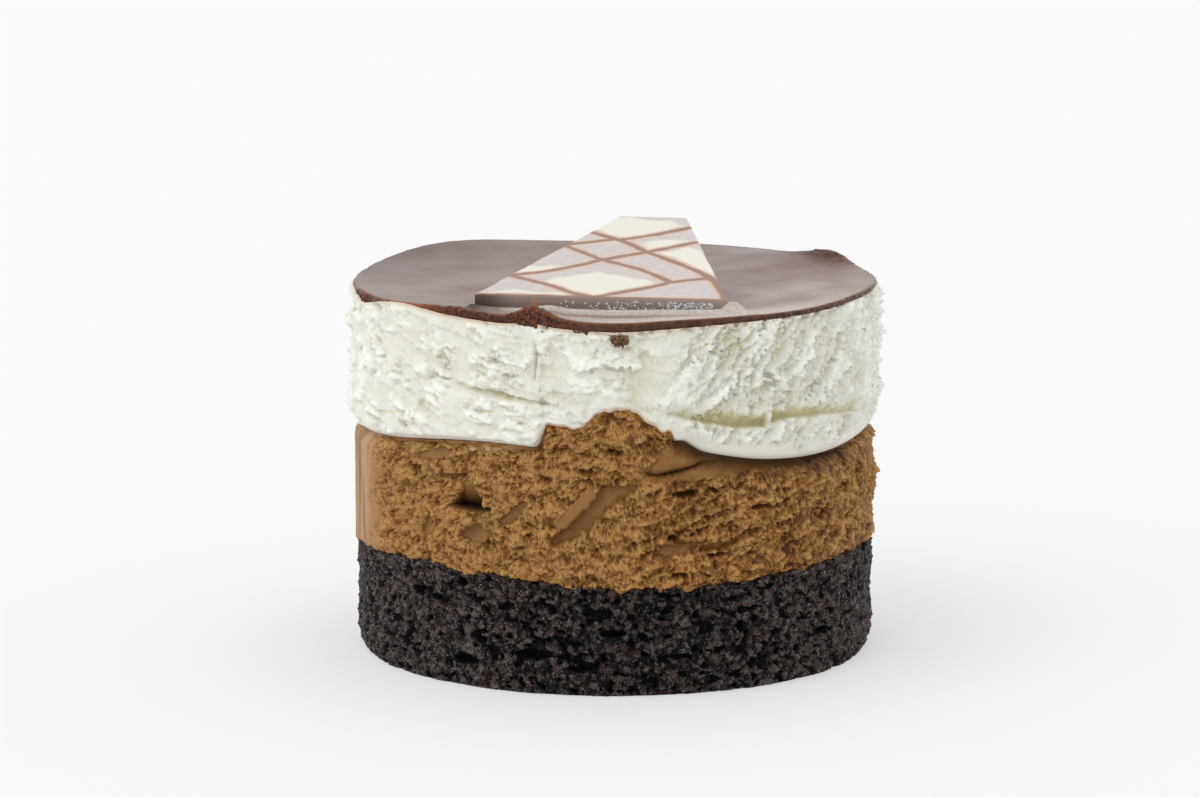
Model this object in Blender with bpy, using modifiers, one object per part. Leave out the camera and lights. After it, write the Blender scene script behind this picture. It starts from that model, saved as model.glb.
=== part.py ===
"""Small round chocolate layer cake: sponge, chocolate mousse, white mousse, chocolate glaze and a plaque.

The cake stands on z = 0 with its axis on Z, and its front faces -Y. A bearing is an angle round that
axis in degrees: 0 at the front, 90 at +X and -90 at -X. Lengths are in metres.
"""

import math

import bmesh
import bpy
import numpy as np
from mathutils import Vector, noise

CAKE_RADIUS = 0.035
SPONGE_HEIGHT = 0.0148
TIDE_HEIGHT = 0.0303
RIM_HEIGHT = 0.0495
LAYER_GAP = 0.0003

SIDES = 100
CAP_RINGS = (0.86, 0.45, 0.0)
TOP_RINGS = (0.985, 0.93, 0.82, 0.69, 0.55, 0.41, 0.27, 0.13, 0.0)

SPONGE_SET_BACK = 0.0003
SPONGE_FOOT_TUCK = 0.0007
SPONGE_FOOT_HEIGHT = 0.0015
MOUSSE_PROUD = 0.0002
GLAZE_MIDDLE = 0.0013
GLAZE_DISH = 0.0007
GLAZE_OVERHANG = 0.0002
GLAZE_ROUNDING = 0.0003

PLAQUE_BASE = 0.0328
PLAQUE_TIP_LEFT = -0.0002
PLAQUE_TIP_RIGHT = 0.0088
PLAQUE_LENGTH = 0.039
PLAQUE_THICKNESS = 0.0023
PLAQUE_BEVEL = 0.0002
PLAQUE_FOOT = (-0.00175, -0.0274, 0.04915)
PLAQUE_TILT = 7.6
PLAQUE_ROLL = 0.9
PLAQUE_TURN = -4.0

MOUND_PLACE = (0.002, -0.006)
MOUND_SPREAD = 0.0075
MOUND_HEIGHT = 0.0034
SMOOTH_BELOW = 40.0

# Rows of (bearing, width in degrees, height) for the unevenness round the cake.
SPONGE_WAVES = (
    (-94.0, 13.0, -0.0009),
    (-46.0, 24.0, 0.0012),
    (12.0, 20.0, -0.0006),
    (62.0, 20.0, 0.0005),
    (142.0, 26.0, 0.0006),
    (-150.0, 18.0, -0.0005),
)
TIDE_WAVES = (
    (-28.0, 30.0, 0.0024),
    (0.8, 6.5, 0.0034),
    (14.0, 14.0, 0.0016),
    (54.0, 22.0, -0.0010),
    (112.0, 16.0, -0.0008),
    (-128.0, 24.0, 0.0014),
)
TONGUE_RISE = 0.0027
FRONT_TONGUE = (-15.5, 12.8, 2.0)
BACK_TONGUE = ((152.0, 9.0, 0.8),)
TONGUE_FLUSH = 0.93
TUCK_DEPTH = 0.0013
TUCK_SWELLS = ((58.0, 34.0, 0.0009), (-150.0, 26.0, 0.0004))
SHOULDER_HEIGHT = 0.0018
SHOULDER_SWELLS = ((20.0, 18.0, 0.0017), (60.0, 26.0, 0.0005), (-156.0, 28.0, 0.0010))
LIP_HEIGHT = 0.0020
LIP_SWELLS = ((54.0, 34.0, 0.0013), (-140.0, 30.0, 0.0005))
RIM_LIFTS = (
    (-137.0, 24.0, 0.0013),
    (-48.0, 12.0, 0.0004),
    (-17.3, 4.0, 0.0010),
    (0.0, 10.0, -0.0003),
    (62.0, 28.0, 0.0005),
    (122.0, 9.0, 0.0012),
)
GLAZE_THIN_EDGE = 0.0006
GLAZE_DRIPS = (
    (-135.0, 25.0, 0.0003),
    (-75.0, 7.0, 0.0007),
    (-17.0, 4.0, 0.0006),
    (2.0, 27.0, 0.0009),
    (62.0, 26.0, 0.0003),
    (122.0, 10.0, 0.0005),
)
GLAZE_LUMPS = ((-17.0, 4.5, 0.0005), (121.0, 9.0, 0.0004))

# Relief of each cut side: size of a lump, its depth, and a seed.
CRUMB = (0.0033, 0.0004, 3.0)
CHOCOLATE_TEARS = (0.0036, 0.0006, 11.0)
WHITE_TEARS = (0.0042, 0.0006, 23.0)


def swell(bearing, centre, width):
    """One smooth hump round the cake: 1 at its centre and 0.37 one width away."""
    away = (bearing - centre + 180.0) % 360.0 - 180.0
    return np.exp(-((away / width) ** 2))


def humps(bearing, rows):
    """Sum of humps round the cake, each row being (bearing, width in degrees, height)."""
    return sum(height * swell(bearing, centre, width) for centre, width, height in rows)


def tongue(bearing):
    """1 where chocolate mousse was smeared up over the white mousse, at the front and less at the back."""
    start, end, soft = FRONT_TONGUE
    front = 0.5 * (np.tanh((bearing - start) / soft) - np.tanh((bearing - end) / soft))
    return front + humps(bearing, BACK_TONGUE)


def sponge_line(bearing):
    """Height at which sponge and chocolate mousse meet, at the rim."""
    return SPONGE_HEIGHT + humps(bearing, SPONGE_WAVES)


def tide_line(bearing):
    """Height at which the two mousses meet, at the rim."""
    return TIDE_HEIGHT + humps(bearing, TIDE_WAVES) + TONGUE_RISE * tongue(bearing)


def tuck(bearing):
    """How far both mousses draw in where they meet. The tongue is flush instead."""
    depth = TUCK_DEPTH + humps(bearing, TUCK_SWELLS)
    return depth * (1.0 - TONGUE_FLUSH * np.minimum(tongue(bearing), 1.0))


def shoulder(bearing):
    """Height of the smooth sloping shoulder of the chocolate mousse under that meeting."""
    return SHOULDER_HEIGHT + humps(bearing, SHOULDER_SWELLS)


def lip(bearing):
    """Height of the rounded lower edge of the white mousse."""
    return LIP_HEIGHT + humps(bearing, LIP_SWELLS)


def rim_line(bearing):
    """Height of the glaze's upper edge."""
    return RIM_HEIGHT + humps(bearing, RIM_LIFTS)


def glaze_edge(bearing):
    """Thickness of the glaze at the rim: thick in front, thin at the sides, with drips."""
    return GLAZE_THIN_EDGE + humps(bearing, GLAZE_DRIPS)


def eased(share_out, line, mean):
    """A wavy line at the rim that dies away towards the axis, as a height."""
    return mean + (line - mean) * share_out**3


def sponge_top(share_out, bearing):
    return eased(share_out, sponge_line(bearing), SPONGE_HEIGHT)


def mousse_top(share_out, bearing):
    return eased(share_out, tide_line(bearing), TIDE_HEIGHT)


def glaze_top(share_out, bearing):
    dished = RIM_HEIGHT - GLAZE_DISH * (1.0 - share_out**2)
    return dished + (rim_line(bearing) - RIM_HEIGHT) * share_out**4


def glaze_under(share_out, bearing):
    thickness = GLAZE_MIDDLE + (glaze_edge(bearing) - GLAZE_MIDDLE) * share_out**4
    return glaze_top(share_out, bearing) - thickness


def mound(x, y):
    """The low swelling of glaze on which the plaque is bedded."""
    away = (x - MOUND_PLACE[0]) ** 2 + (y - MOUND_PLACE[1]) ** 2
    return MOUND_HEIGHT * np.exp(-away / MOUND_SPREAD**2)


def crags(x, y, z, size, depth, seed):
    """Uneven relief: soft lumps of the given size, and half as deep ones of about half that size."""
    points = [Vector(p) / size + Vector((seed, seed, seed)) for p in zip(x, y, z)]
    coarse = np.array([noise.noise(p) for p in points])
    fine = np.array([noise.noise(p * 2.1) for p in points])
    return depth * (coarse + 0.5 * fine)


def turned_blank(name, profile):
    """A profile of (radius, height) turned about Z. Heights run from 0 at the underside to 1 at the top."""
    mesh = bpy.data.meshes.new(name)
    edges = [(i, i + 1) for i in range(len(profile) - 1)]
    mesh.from_pydata([(radius, 0.0, height) for radius, height in profile], edges, [])
    blank = bpy.data.objects.new(name, mesh)
    bpy.context.scene.collection.objects.link(blank)
    screw = blank.modifiers.new("turn", "SCREW")
    screw.steps = SIDES
    screw.render_steps = SIDES
    screw.use_merge_vertices = True
    screw.merge_threshold = 0.00005
    graph = bpy.context.evaluated_depsgraph_get()
    turned = bpy.data.meshes.new_from_object(blank.evaluated_get(graph))
    bpy.data.objects.remove(blank)
    return turned


def layer_profile(side_steps, top_rings):
    """Half section of a layer: from the middle of its top, down its side, to the middle below."""
    top = [(CAKE_RADIUS * ring, 1.0) for ring in reversed(top_rings)]
    side = [(CAKE_RADIUS, 1.0 - step / side_steps) for step in range(side_steps + 1)]
    under = [(CAKE_RADIUS * ring, 0.0) for ring in CAP_RINGS]
    return top + side + under


def layer(name, side_steps, top_rings, top, underside, edge):
    """A turned blank brought to the real form of a layer.

    top and underside give heights from the share of the way out and the bearing. edge gives the radius
    at the side from the bearing, the share of the way up, the height and the layer's thickness there.
    """
    mesh = turned_blank(name, layer_profile(side_steps, top_rings))
    flat = np.empty(len(mesh.vertices) * 3, np.float32)
    mesh.vertices.foreach_get("co", flat)
    x, y, share_up = flat.reshape(-1, 3).astype(float).T
    share_out = np.hypot(x, y) / CAKE_RADIUS
    bearing = np.degrees(np.arctan2(x, -y))
    high, low = top(share_out, bearing), underside(share_out, bearing)
    z = low + (high - low) * share_up
    radius = share_out * edge(bearing, share_up, z, high - low)
    turn = np.radians(bearing)
    placed = np.stack([radius * np.sin(turn), -radius * np.cos(turn), z], axis=1)
    mesh.vertices.foreach_set("co", placed.astype(np.float32).ravel())
    mesh.update()
    mesh.set_sharp_from_angle(angle=math.radians(SMOOTH_BELOW))
    made = bpy.data.objects.new(name, mesh)
    cake.objects.link(made)
    return made


def at_rim(bearing):
    """(x, y) on the cake's side at a bearing."""
    turn = np.radians(bearing)
    return CAKE_RADIUS * np.sin(turn), -CAKE_RADIUS * np.cos(turn)


def sponge_edge(bearing, share_up, z, thickness):
    """Crumb: straight sides with small pits, drawn in a little at the foot."""
    foot = SPONGE_FOOT_TUCK * np.exp(-z / SPONGE_FOOT_HEIGHT)
    return CAKE_RADIUS - SPONGE_SET_BACK - foot + crags(*at_rim(bearing), z, *CRUMB)


def chocolate_edge(bearing, share_up, z, thickness):
    """Torn mousse below a smooth shoulder that slopes in to the white mousse."""
    below = (1.0 - share_up) * thickness
    slope = np.clip(1.0 - below / shoulder(bearing), 0.0, 1.0) ** 1.6
    rough = crags(*at_rim(bearing), z, *CHOCOLATE_TEARS) * (1.0 - slope)
    return CAKE_RADIUS + MOUSSE_PROUD - tuck(bearing) * slope + rough


def white_edge(bearing, share_up, z, thickness):
    """Torn mousse above a smooth rounded lower edge."""
    above = share_up * thickness
    rounding = np.clip(1.0 - above / lip(bearing), 0.0, 1.0)
    curl = 1.0 - np.sqrt(1.0 - rounding**2)
    rough = crags(*at_rim(bearing), z, *WHITE_TEARS) * (1.0 - rounding)
    return CAKE_RADIUS + MOUSSE_PROUD - (tuck(bearing) + MOUSSE_PROUD) * curl + rough


def glaze_side(bearing, share_up, z, thickness):
    """Rounded edge with a lump at the front and one at the back right."""
    rounding = GLAZE_ROUNDING * (2.0 * share_up - 1.0) ** 2
    return CAKE_RADIUS + GLAZE_OVERHANG + humps(bearing, GLAZE_LUMPS) - rounding


def material(name, colour, roughness):
    made = bpy.data.materials.new(name)
    made.use_nodes = True
    shader = made.node_tree.nodes["Principled BSDF"]
    shader.inputs["Base Color"].default_value = (*colour, 1.0)
    shader.inputs["Roughness"].default_value = roughness
    shader.inputs["Metallic"].default_value = 0.0
    made.diffuse_color = (*colour, 1.0)
    return made


def plaque_slab(name, grown, collection):
    """The four-cornered plaque, drawn in its own X and Y with its foot on X. grown widens a cutter."""
    half = PLAQUE_BASE / 2
    tip = [(PLAQUE_TIP_RIGHT, PLAQUE_LENGTH), (PLAQUE_TIP_LEFT, PLAQUE_LENGTH)]
    corners = [(-half, 0.0), (half, 0.0), *tip]
    outline = bpy.data.curves.new(name, "CURVE")
    outline.dimensions = "2D"
    outline.fill_mode = "BOTH"
    outline.extrude = PLAQUE_THICKNESS / 2 + grown
    outline.offset = grown
    spline = outline.splines.new("POLY")
    spline.points.add(len(corners) - 1)
    for point, (across, along) in zip(spline.points, corners):
        point.co = (across, along, 0.0, 1.0)
    spline.use_cyclic_u = True
    drawn = bpy.data.objects.new(name, outline)
    collection.objects.link(drawn)
    graph = bpy.context.evaluated_depsgraph_get()
    mesh = bpy.data.meshes.new_from_object(drawn.evaluated_get(graph))
    bpy.data.objects.remove(drawn)
    shape = bmesh.new()
    shape.from_mesh(mesh)
    bmesh.ops.remove_doubles(shape, verts=shape.verts, dist=0.00001)
    bmesh.ops.translate(shape, verts=shape.verts, vec=(0.0, 0.0, PLAQUE_THICKNESS / 2))
    bmesh.ops.recalc_face_normals(shape, faces=shape.faces)
    shape.to_mesh(mesh)
    shape.free()
    slab = bpy.data.objects.new(name, mesh)
    collection.objects.link(slab)
    slab.location = PLAQUE_FOOT
    slab.rotation_euler = [math.radians(a) for a in (PLAQUE_TILT, PLAQUE_ROLL, PLAQUE_TURN)]
    return slab


def make_sponge():
    def floor(share_out, bearing):
        return np.zeros_like(share_out)

    sponge = layer("sponge_base", 8, CAP_RINGS, sponge_top, floor, sponge_edge)
    sponge.data.materials.append(material("dark_sponge", (0.022, 0.016, 0.014), 0.85))


def make_chocolate_mousse():
    def underside(share_out, bearing):
        return sponge_top(share_out, bearing) + LAYER_GAP

    mousse = layer("chocolate_mousse", 10, CAP_RINGS, mousse_top, underside, chocolate_edge)
    mousse.data.materials.append(material("milk_chocolate_mousse", (0.30, 0.155, 0.06), 0.6))


def make_white_mousse():
    def top(share_out, bearing):
        return glaze_under(share_out, bearing) - LAYER_GAP

    def underside(share_out, bearing):
        return mousse_top(share_out, bearing) + LAYER_GAP

    mousse = layer("white_mousse", 11, CAP_RINGS, top, underside, white_edge)
    mousse.data.materials.append(material("white_chocolate_mousse", (0.80, 0.79, 0.70), 0.5))


def make_glaze():
    glaze = layer("chocolate_glaze", 2, TOP_RINGS, glaze_top, glaze_under, glaze_side)
    mesh = glaze.data
    for vertex in mesh.vertices:
        spread = math.hypot(vertex.co.x, vertex.co.y) / CAKE_RADIUS
        bearing = np.degrees(np.arctan2(vertex.co.x, -vertex.co.y))
        middle = glaze_top(spread, bearing) - GLAZE_MIDDLE / 2
        if spread < 0.95 and vertex.co.z > middle:
            vertex.co.z += mound(vertex.co.x, vertex.co.y)
    bed = plaque_slab("plaque_bed", LAYER_GAP, helpers)
    bed.hide_render = True
    bed.display_type = "WIRE"
    cut = glaze.modifiers.new("plaque bed", "BOOLEAN")
    cut.operation = "DIFFERENCE"
    cut.solver = "EXACT"
    cut.object = bed
    mesh.materials.append(material("dark_glaze", (0.06, 0.03, 0.022), 0.25))


def make_plaque():
    plaque = plaque_slab("chocolate_plaque", 0.0, cake)
    softened = plaque.modifiers.new("softened edges", "BEVEL")
    softened.width = PLAQUE_BEVEL
    softened.segments = 2
    plaque.data.materials.append(material("ivory_chocolate", (0.80, 0.76, 0.66), 0.35))


for old in list(bpy.data.objects):
    bpy.data.objects.remove(old)

cake = bpy.data.collections.new("chocolate layer cake")
helpers = bpy.data.collections.new("cutters")
bpy.context.scene.collection.children.link(cake)
bpy.context.scene.collection.children.link(helpers)

make_sponge()
make_chocolate_mousse()
make_white_mousse()
make_glaze()
make_plaque()
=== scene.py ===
"""Looks of a small round layered mousse cake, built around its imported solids.

Shapes are worked out in millimetres and become metres when a mesh is made. A bearing is an angle round
the cake's axis in degrees: 0 at the front (-Y) and 90 at +X. "Around" is the distance along the side from
the front, in millimetres, positive to the right.
"""

import itertools
import math

import bpy
import mathutils
import numpy as np
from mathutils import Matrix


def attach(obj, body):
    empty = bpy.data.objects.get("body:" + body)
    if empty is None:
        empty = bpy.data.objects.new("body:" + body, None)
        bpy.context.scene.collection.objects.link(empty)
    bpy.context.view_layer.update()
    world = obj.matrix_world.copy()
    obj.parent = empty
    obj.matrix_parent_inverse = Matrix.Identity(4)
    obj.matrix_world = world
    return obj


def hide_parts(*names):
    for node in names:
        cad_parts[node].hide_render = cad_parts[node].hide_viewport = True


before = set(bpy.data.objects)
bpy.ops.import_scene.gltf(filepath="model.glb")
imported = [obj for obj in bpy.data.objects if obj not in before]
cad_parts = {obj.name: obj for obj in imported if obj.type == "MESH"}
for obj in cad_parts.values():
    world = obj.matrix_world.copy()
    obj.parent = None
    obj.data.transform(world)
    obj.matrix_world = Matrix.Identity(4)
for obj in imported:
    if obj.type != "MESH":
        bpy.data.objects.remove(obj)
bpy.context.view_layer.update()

# Camera
# It stands a little above the cake and looks down on it by ten degrees, through a long lens.
# The small turn puts the cake just right of the middle of the picture.
CAMERA_PLACE = (0.0, -0.655, 0.151)
CAMERA_DOWN = 10.2
CAMERA_TURN = 0.175
CAMERA_LENS = 147.4

camera = bpy.data.objects.new("camera", bpy.data.cameras.new("camera"))
camera.data.lens = CAMERA_LENS
camera.location = CAMERA_PLACE
camera.rotation_euler = (math.radians(90.0 - CAMERA_DOWN), 0.0, math.radians(CAMERA_TURN))
bpy.context.scene.collection.objects.link(camera)
bpy.context.scene.camera = camera
bpy.context.scene.view_settings.view_transform = "Standard"

# Sponge base
# A disc of dark chocolate sponge, cut with the ring, so its side is open crumb: grains half a millimetre
# across that stand off from one another, small pores between them and a few flat caverns.
MM = 0.001
CAKE_RADIUS = 35.0
COLUMNS = 900
FRONT_CROWDING = 0.45
CAP_SHARES = (0.0, 0.6, 0.93)

SPONGE_ROWS = 104
SPONGE_RADIUS = 34.75
SPONGE_HEIGHT = 14.8
SPONGE_SWELL = 0.3
SPONGE_FOOT_TUCK = 0.7
SPONGE_FOOT_HEIGHT = 1.5
SPONGE_WAVES = (
    (-94.0, 13.0, -0.9),
    (-46.0, 24.0, 1.2),
    (12.0, 20.0, -0.6),
    (62.0, 20.0, 0.5),
    (142.0, 26.0, 0.6),
    (-150.0, 18.0, -0.5),
)
# Where the sides are rubbed smoother, and where the front is darkened with painted shade.
SPONGE_RUBBED = ((-90.0, 28.0, 0.4), (90.0, 28.0, 0.3))
SPONGE_FRONT_SHADE = ((6.0, 24.0, 0.16),)
# Bearing and height of each cavern, half its width and height, and its depth.
CAVERNS = (
    (-17.9, 5.3, 2.4, 0.8, 2.2),
    (-34.1, 3.6, 2.2, 0.7, 1.9),
    (-42.1, 11.4, 1.1, 0.6, 1.8),
    (-48.1, 11.8, 0.9, 0.6, 1.6),
    (-30.2, 6.6, 0.9, 0.6, 1.5),
    (-35.0, 14.0, 1.0, 0.7, 1.5),
    (-0.4, 8.4, 1.8, 0.5, 1.6),
    (28.2, 8.6, 0.6, 0.9, 1.5),
    (14.0, 5.2, 2.2, 0.4, 1.2),
    (-8.0, 3.6, 1.6, 0.5, 1.3),
    (52.0, 6.0, 1.4, 0.6, 1.2),
    (88.0, 8.0, 1.8, 0.6, 1.5),
    (121.0, 4.5, 2.2, 0.6, 1.7),
    (-112.0, 9.5, 1.5, 0.6, 1.6),
    (-160.0, 5.0, 2.0, 0.7, 1.8),
    (165.0, 10.0, 1.2, 0.5, 1.4),
)

draw = np.random.default_rng(7)
SHUFFLE = draw.permutation(256)
SLOPES = draw.normal(size=(256, 3))
SLOPES /= np.linalg.norm(SLOPES, axis=1, keepdims=True)
STREWN = draw.random((256, 3))


def shuffled(cell):
    """A number from 0 to 255 for each whole-numbered cell (x, y, z), always the same one."""
    code = SHUFFLE[cell[..., 0] & 255]
    code = SHUFFLE[(code + cell[..., 1]) & 255]
    return SHUFFLE[(code + cell[..., 2]) & 255]


def lumps(points, size, seed):
    """Smooth swelling from about -1 to 1 with lumps of a size. Each seed gives another pattern.

    Each corner of a cubic lattice has a slope, and a point blends what its eight corners' slopes give.
    """
    spot = points / size + 17.3 * seed
    cell = np.floor(spot).astype(int)
    part = spot - cell
    ease = part**3 * (part * (part * 6.0 - 15.0) + 10.0)
    total = np.zeros(spot.shape[:-1])
    for corner in itertools.product((0, 1), repeat=3):
        slope = SLOPES[shuffled(cell + np.array(corner))]
        weight = np.prod(np.where(corner, ease, 1.0 - ease), axis=-1)
        total += weight * np.sum(slope * (part - corner), axis=-1)
    return 1.7 * total


def broken(points, size, seed, octaves=3, fade=0.5):
    """Lumps of a size that carry finer and lower lumps, each half the size of the last."""
    return sum(fade**k * lumps(points, size / 2.0**k, seed + k) for k in range(octaves))


def billows(points, size, seed, octaves, fade):
    """Round clumps with sharp creases between them, |lumps|, that carry finer clumps."""
    return sum(fade**k * np.abs(lumps(points, size / 2.0**k, seed + k)) for k in range(octaves))


def warped(points, reach, size, seed):
    """Points pushed about by up to a reach in mm, so that a pattern read at them is bent."""
    return points + reach * np.stack([lumps(points, size, seed + k) for k in range(3)], axis=-1)


def rise(value, low, high):
    """0 below low, 1 above high and a smooth S between them."""
    share = np.clip((value - low) / (high - low), 0.0, 1.0)
    return share * share * (3.0 - 2.0 * share)


def turn_from(bearing, centre):
    """How far a bearing is from another, from -180 to 180 degrees."""
    return (bearing - centre + 180.0) % 360.0 - 180.0


def humps(bearing, rows):
    """Sum of bell-shaped humps round the cake, each row being (bearing, width in degrees, height)."""
    return sum(tall * np.exp(-((turn_from(bearing, centre) / wide) ** 2)) for centre, wide, tall in rows)


def bearings(count, crowding):
    """Bearings of the points round a ring: t - c sin t, so that they stand closer at the front."""
    turn = 2.0 * np.pi * (np.arange(count) / count - 0.5)
    return np.degrees(turn - crowding * np.sin(turn))


def placed(bearing, radius, height):
    """Points at a bearing, a radius and a height: (r sin b, -r cos b, z)."""
    turn = np.radians(bearing)
    return np.stack(np.broadcast_arrays(radius * np.sin(turn), -radius * np.cos(turn), height), axis=-1)


def around(bearing):
    """Distance along the side from the front, in mm: the radius times the angle."""
    return CAKE_RADIUS * np.radians(bearing)


def shrunk(rim, middle, shares):
    """Rings between a rim and the axis: radius times a share, height easing to the middle's as its cube."""
    share = np.array(shares)[:, None]
    height = middle + (rim[:, 2] - middle) * share**3
    return np.concatenate([rim[:, :2] * share[..., None], height[..., None]], axis=-1)


def with_caps(side, top_middle, low_middle):
    """Side rings, closed by a lid above and an underside below."""
    lid = shrunk(side[0], top_middle, CAP_SHARES)
    return np.concatenate([lid, side, shrunk(side[-1], low_middle, CAP_SHARES[::-1])])


def capped(values):
    """Numbers on the side's rings, run on over the caps."""
    return np.pad(values, ((len(CAP_SHARES), len(CAP_SHARES)), (0, 0)), mode="edge")


def joined(name, points, faces):
    """A piece with smooth faces, from points in mm and the corners of each face."""
    mesh = bpy.data.meshes.new(name)
    mesh.from_pydata((points * MM).tolist(), [], faces)
    mesh.shade_smooth()
    piece = bpy.data.objects.new(name, mesh)
    bpy.context.scene.collection.objects.link(piece)
    return piece


def skin(name, rings, **painted):
    """A closed piece from rings of points (ring, point, xyz) that start and end in a single point.

    Quads join each ring to the next, and triangles join the outermost rings to their single points.
    painted holds numbers for each point, which become attributes of the mesh.
    """
    count = rings.shape[1]
    points = np.concatenate([rings[0, :1], rings[1:-1].reshape(-1, 3), rings[-1, :1]])
    here = np.arange(count)
    after = (here + 1) % count
    start = 1 + count * np.arange(len(rings) - 3)[:, None]
    corners = [start + here, start + count + here, start + count + after, start + after]
    quads = np.stack(corners, axis=-1).reshape(-1, 4)
    tip = len(points) - 1
    lid = np.stack([np.zeros(count, int), 1 + here, 1 + after], axis=-1)
    foot = np.stack([np.full(count, tip), tip - count + after, tip - count + here], axis=-1)
    piece = joined(name, points, quads.tolist() + lid.tolist() + foot.tolist())
    for key, values in painted.items():
        kept = np.concatenate([values[0, :1], values[1:-1].ravel(), values[-1, :1]])
        layer = piece.data.attributes.new(key, "FLOAT", "POINT")
        layer.data.foreach_set("value", kept.astype(np.float32))
    return piece


class Wire:
    """A number or colour on its way through a material. Arithmetic on a number adds Math nodes."""

    def __init__(self, finish, socket):
        self.finish = finish
        self.socket = socket

    def math(self, operation, *values):
        return self.finish.node("Math", {"operation": operation}, values)

    def __add__(self, other):
        return self.math("ADD", self, other)

    def __sub__(self, other):
        return self.math("SUBTRACT", self, other)

    def __rsub__(self, other):
        return self.math("SUBTRACT", other, self)

    def __mul__(self, other):
        return self.math("MULTIPLY", self, other)

    __radd__ = __add__
    __rmul__ = __mul__


class Finish:
    """A material, or another owner of nodes, whose nodes feed one shader with some fixed values."""

    def __init__(self, name, constants, owner=None, shader="Principled BSDF"):
        self.material = owner or bpy.data.materials.new(name)
        self.material.use_nodes = True
        self.shader = self.material.node_tree.nodes[shader]
        self.feed(self.shader, constants)

    def feed(self, node, inputs):
        for key, value in inputs.items():
            if isinstance(value, Wire):
                self.material.node_tree.links.new(value.socket, node.inputs[key])
            else:
                node.inputs[key].default_value = value

    def node(self, kind, settings, inputs, output=0):
        """Adds a node: its settings first, then the values or links of its sockets by name or in order."""
        made = self.material.node_tree.nodes.new("ShaderNode" + kind)
        for key, value in settings.items():
            setattr(made, key, value)
        self.feed(made, inputs if isinstance(inputs, dict) else dict(enumerate(inputs)))
        return Wire(self, made.outputs[output])

    def painted(self, key):
        return self.node("Attribute", {"attribute_name": key}, {}, "Fac")

    def noise(self, size, detail=2.0, stretch=(1.0, 1.0, 1.0)):
        """Noise from 0 to 1 with lumps of a size in mm, longer along an axis whose stretch is above 1."""
        scale = tuple(1.0 / (size * MM * s) for s in stretch)
        place = self.node("TexCoord", {}, {}, "Object")
        spot = self.node("Mapping", {}, {"Vector": place, "Scale": scale})
        return self.node("TexNoise", {}, {"Vector": spot, "Scale": 1.0, "Detail": detail})

    def between(self, value, low, high):
        """0 below low, 1 above high and smooth between."""
        inputs = {"Value": value, "From Min": low, "From Max": high}
        return self.node("MapRange", {"interpolation_type": "SMOOTHSTEP"}, inputs)

    def blend(self, share, colour, other):
        """A colour that goes over to another as share goes from 0 to 1."""
        return self.node("Mix", {"data_type": "RGBA"}, {0: share, 6: colour, 7: other}, 2)

    def layers(self, colour, *rows):
        """A colour with others laid over it in turn, each row being (share, colour)."""
        for share, other in rows:
            colour = self.blend(share, colour, other)
        return colour

    def bump(self, height, depth):
        """A normal for relief of a depth in millimetres, height going from 0 to 1."""
        return self.node("Bump", {}, {"Strength": 1.0, "Distance": depth * MM, "Height": height})

    def dress(self, piece, **inputs):
        """Ties wires to the shader's sockets, _ standing for a space, and gives the piece the finish."""
        self.feed(self.shader, {key.replace("_", " "): value for key, value in inputs.items()})
        piece.data.materials.clear()
        piece.data.materials.append(self.material)


def shade(red, green, blue):
    """A colour as the eye reads it, 0 to 255, made linear."""
    parts = [c / 255.0 for c in (red, green, blue)]
    return tuple(p / 12.92 if p <= 0.04045 else ((p + 0.055) / 1.055) ** 2.4 for p in parts) + (1.0,)


bearing = bearings(COLUMNS, FRONT_CROWDING)
share_down = np.linspace(0.0, 1.0, SPONGE_ROWS)[:, None]


def sponge_line(bearing):
    """Height of the sponge's upper edge: a level with humps."""
    return SPONGE_HEIGHT + humps(bearing, SPONGE_WAVES)


def crumb(points):
    """Relief of the crumb in mm: clumps on clumps, less pores where a wider swelling is low."""
    clumps = billows(warped(points, 0.5, 1.4, 31), 1.25, 2, 4, 0.7)
    pores = rise(-broken(points * (1.0, 1.0, 1.5), 1.9, 6, 3, 0.6), 0.3, 0.62)
    return 0.62 * (clumps - 0.6) - 0.8 * pores


def caverns(bearing, height, rows):
    """Depth in mm of each hollow: an ellipse (1 - a^2 - b^2) to the power 1/2 with a ragged edge."""
    depth = np.zeros_like(height)
    ragged = 0.35 * broken(placed(bearing, CAKE_RADIUS, height), 1.1, 9, 2)
    for centre, level, half_width, half_height, deep in rows:
        a = around(turn_from(bearing, centre)) / half_width
        b = (height - level) / half_height
        depth = np.maximum(depth, deep * np.sqrt(np.clip(1.0 - a * a - b * b + ragged, 0.0, 1.0)))
    return depth


height = sponge_line(bearing) * (1.0 - share_down)
wall = placed(bearing, CAKE_RADIUS, height)
grains = crumb(wall)
hollow = caverns(bearing, height, CAVERNS)
swell = SPONGE_SWELL * broken(wall, 6.0, 1, 2)
foot = SPONGE_FOOT_TUCK * np.exp(-height / SPONGE_FOOT_HEIGHT)
calm = rise(height, 0.0, 0.5)
rubbed = humps(bearing, SPONGE_RUBBED)
radius = SPONGE_RADIUS - foot + swell + (grains - hollow) * (0.35 + 0.65 * calm) * (1.0 - rubbed)
rings = with_caps(placed(bearing, radius, height), SPONGE_HEIGHT, 0.0)
# Painted shade: the colour darkens in pores and caverns, and a little over the front.
sponge_relief_shade = rise(grains - hollow, -0.6, 0.3) - humps(bearing, SPONGE_FRONT_SHADE)
sponge = skin("sponge", rings, raised=capped(sponge_relief_shade))

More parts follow.
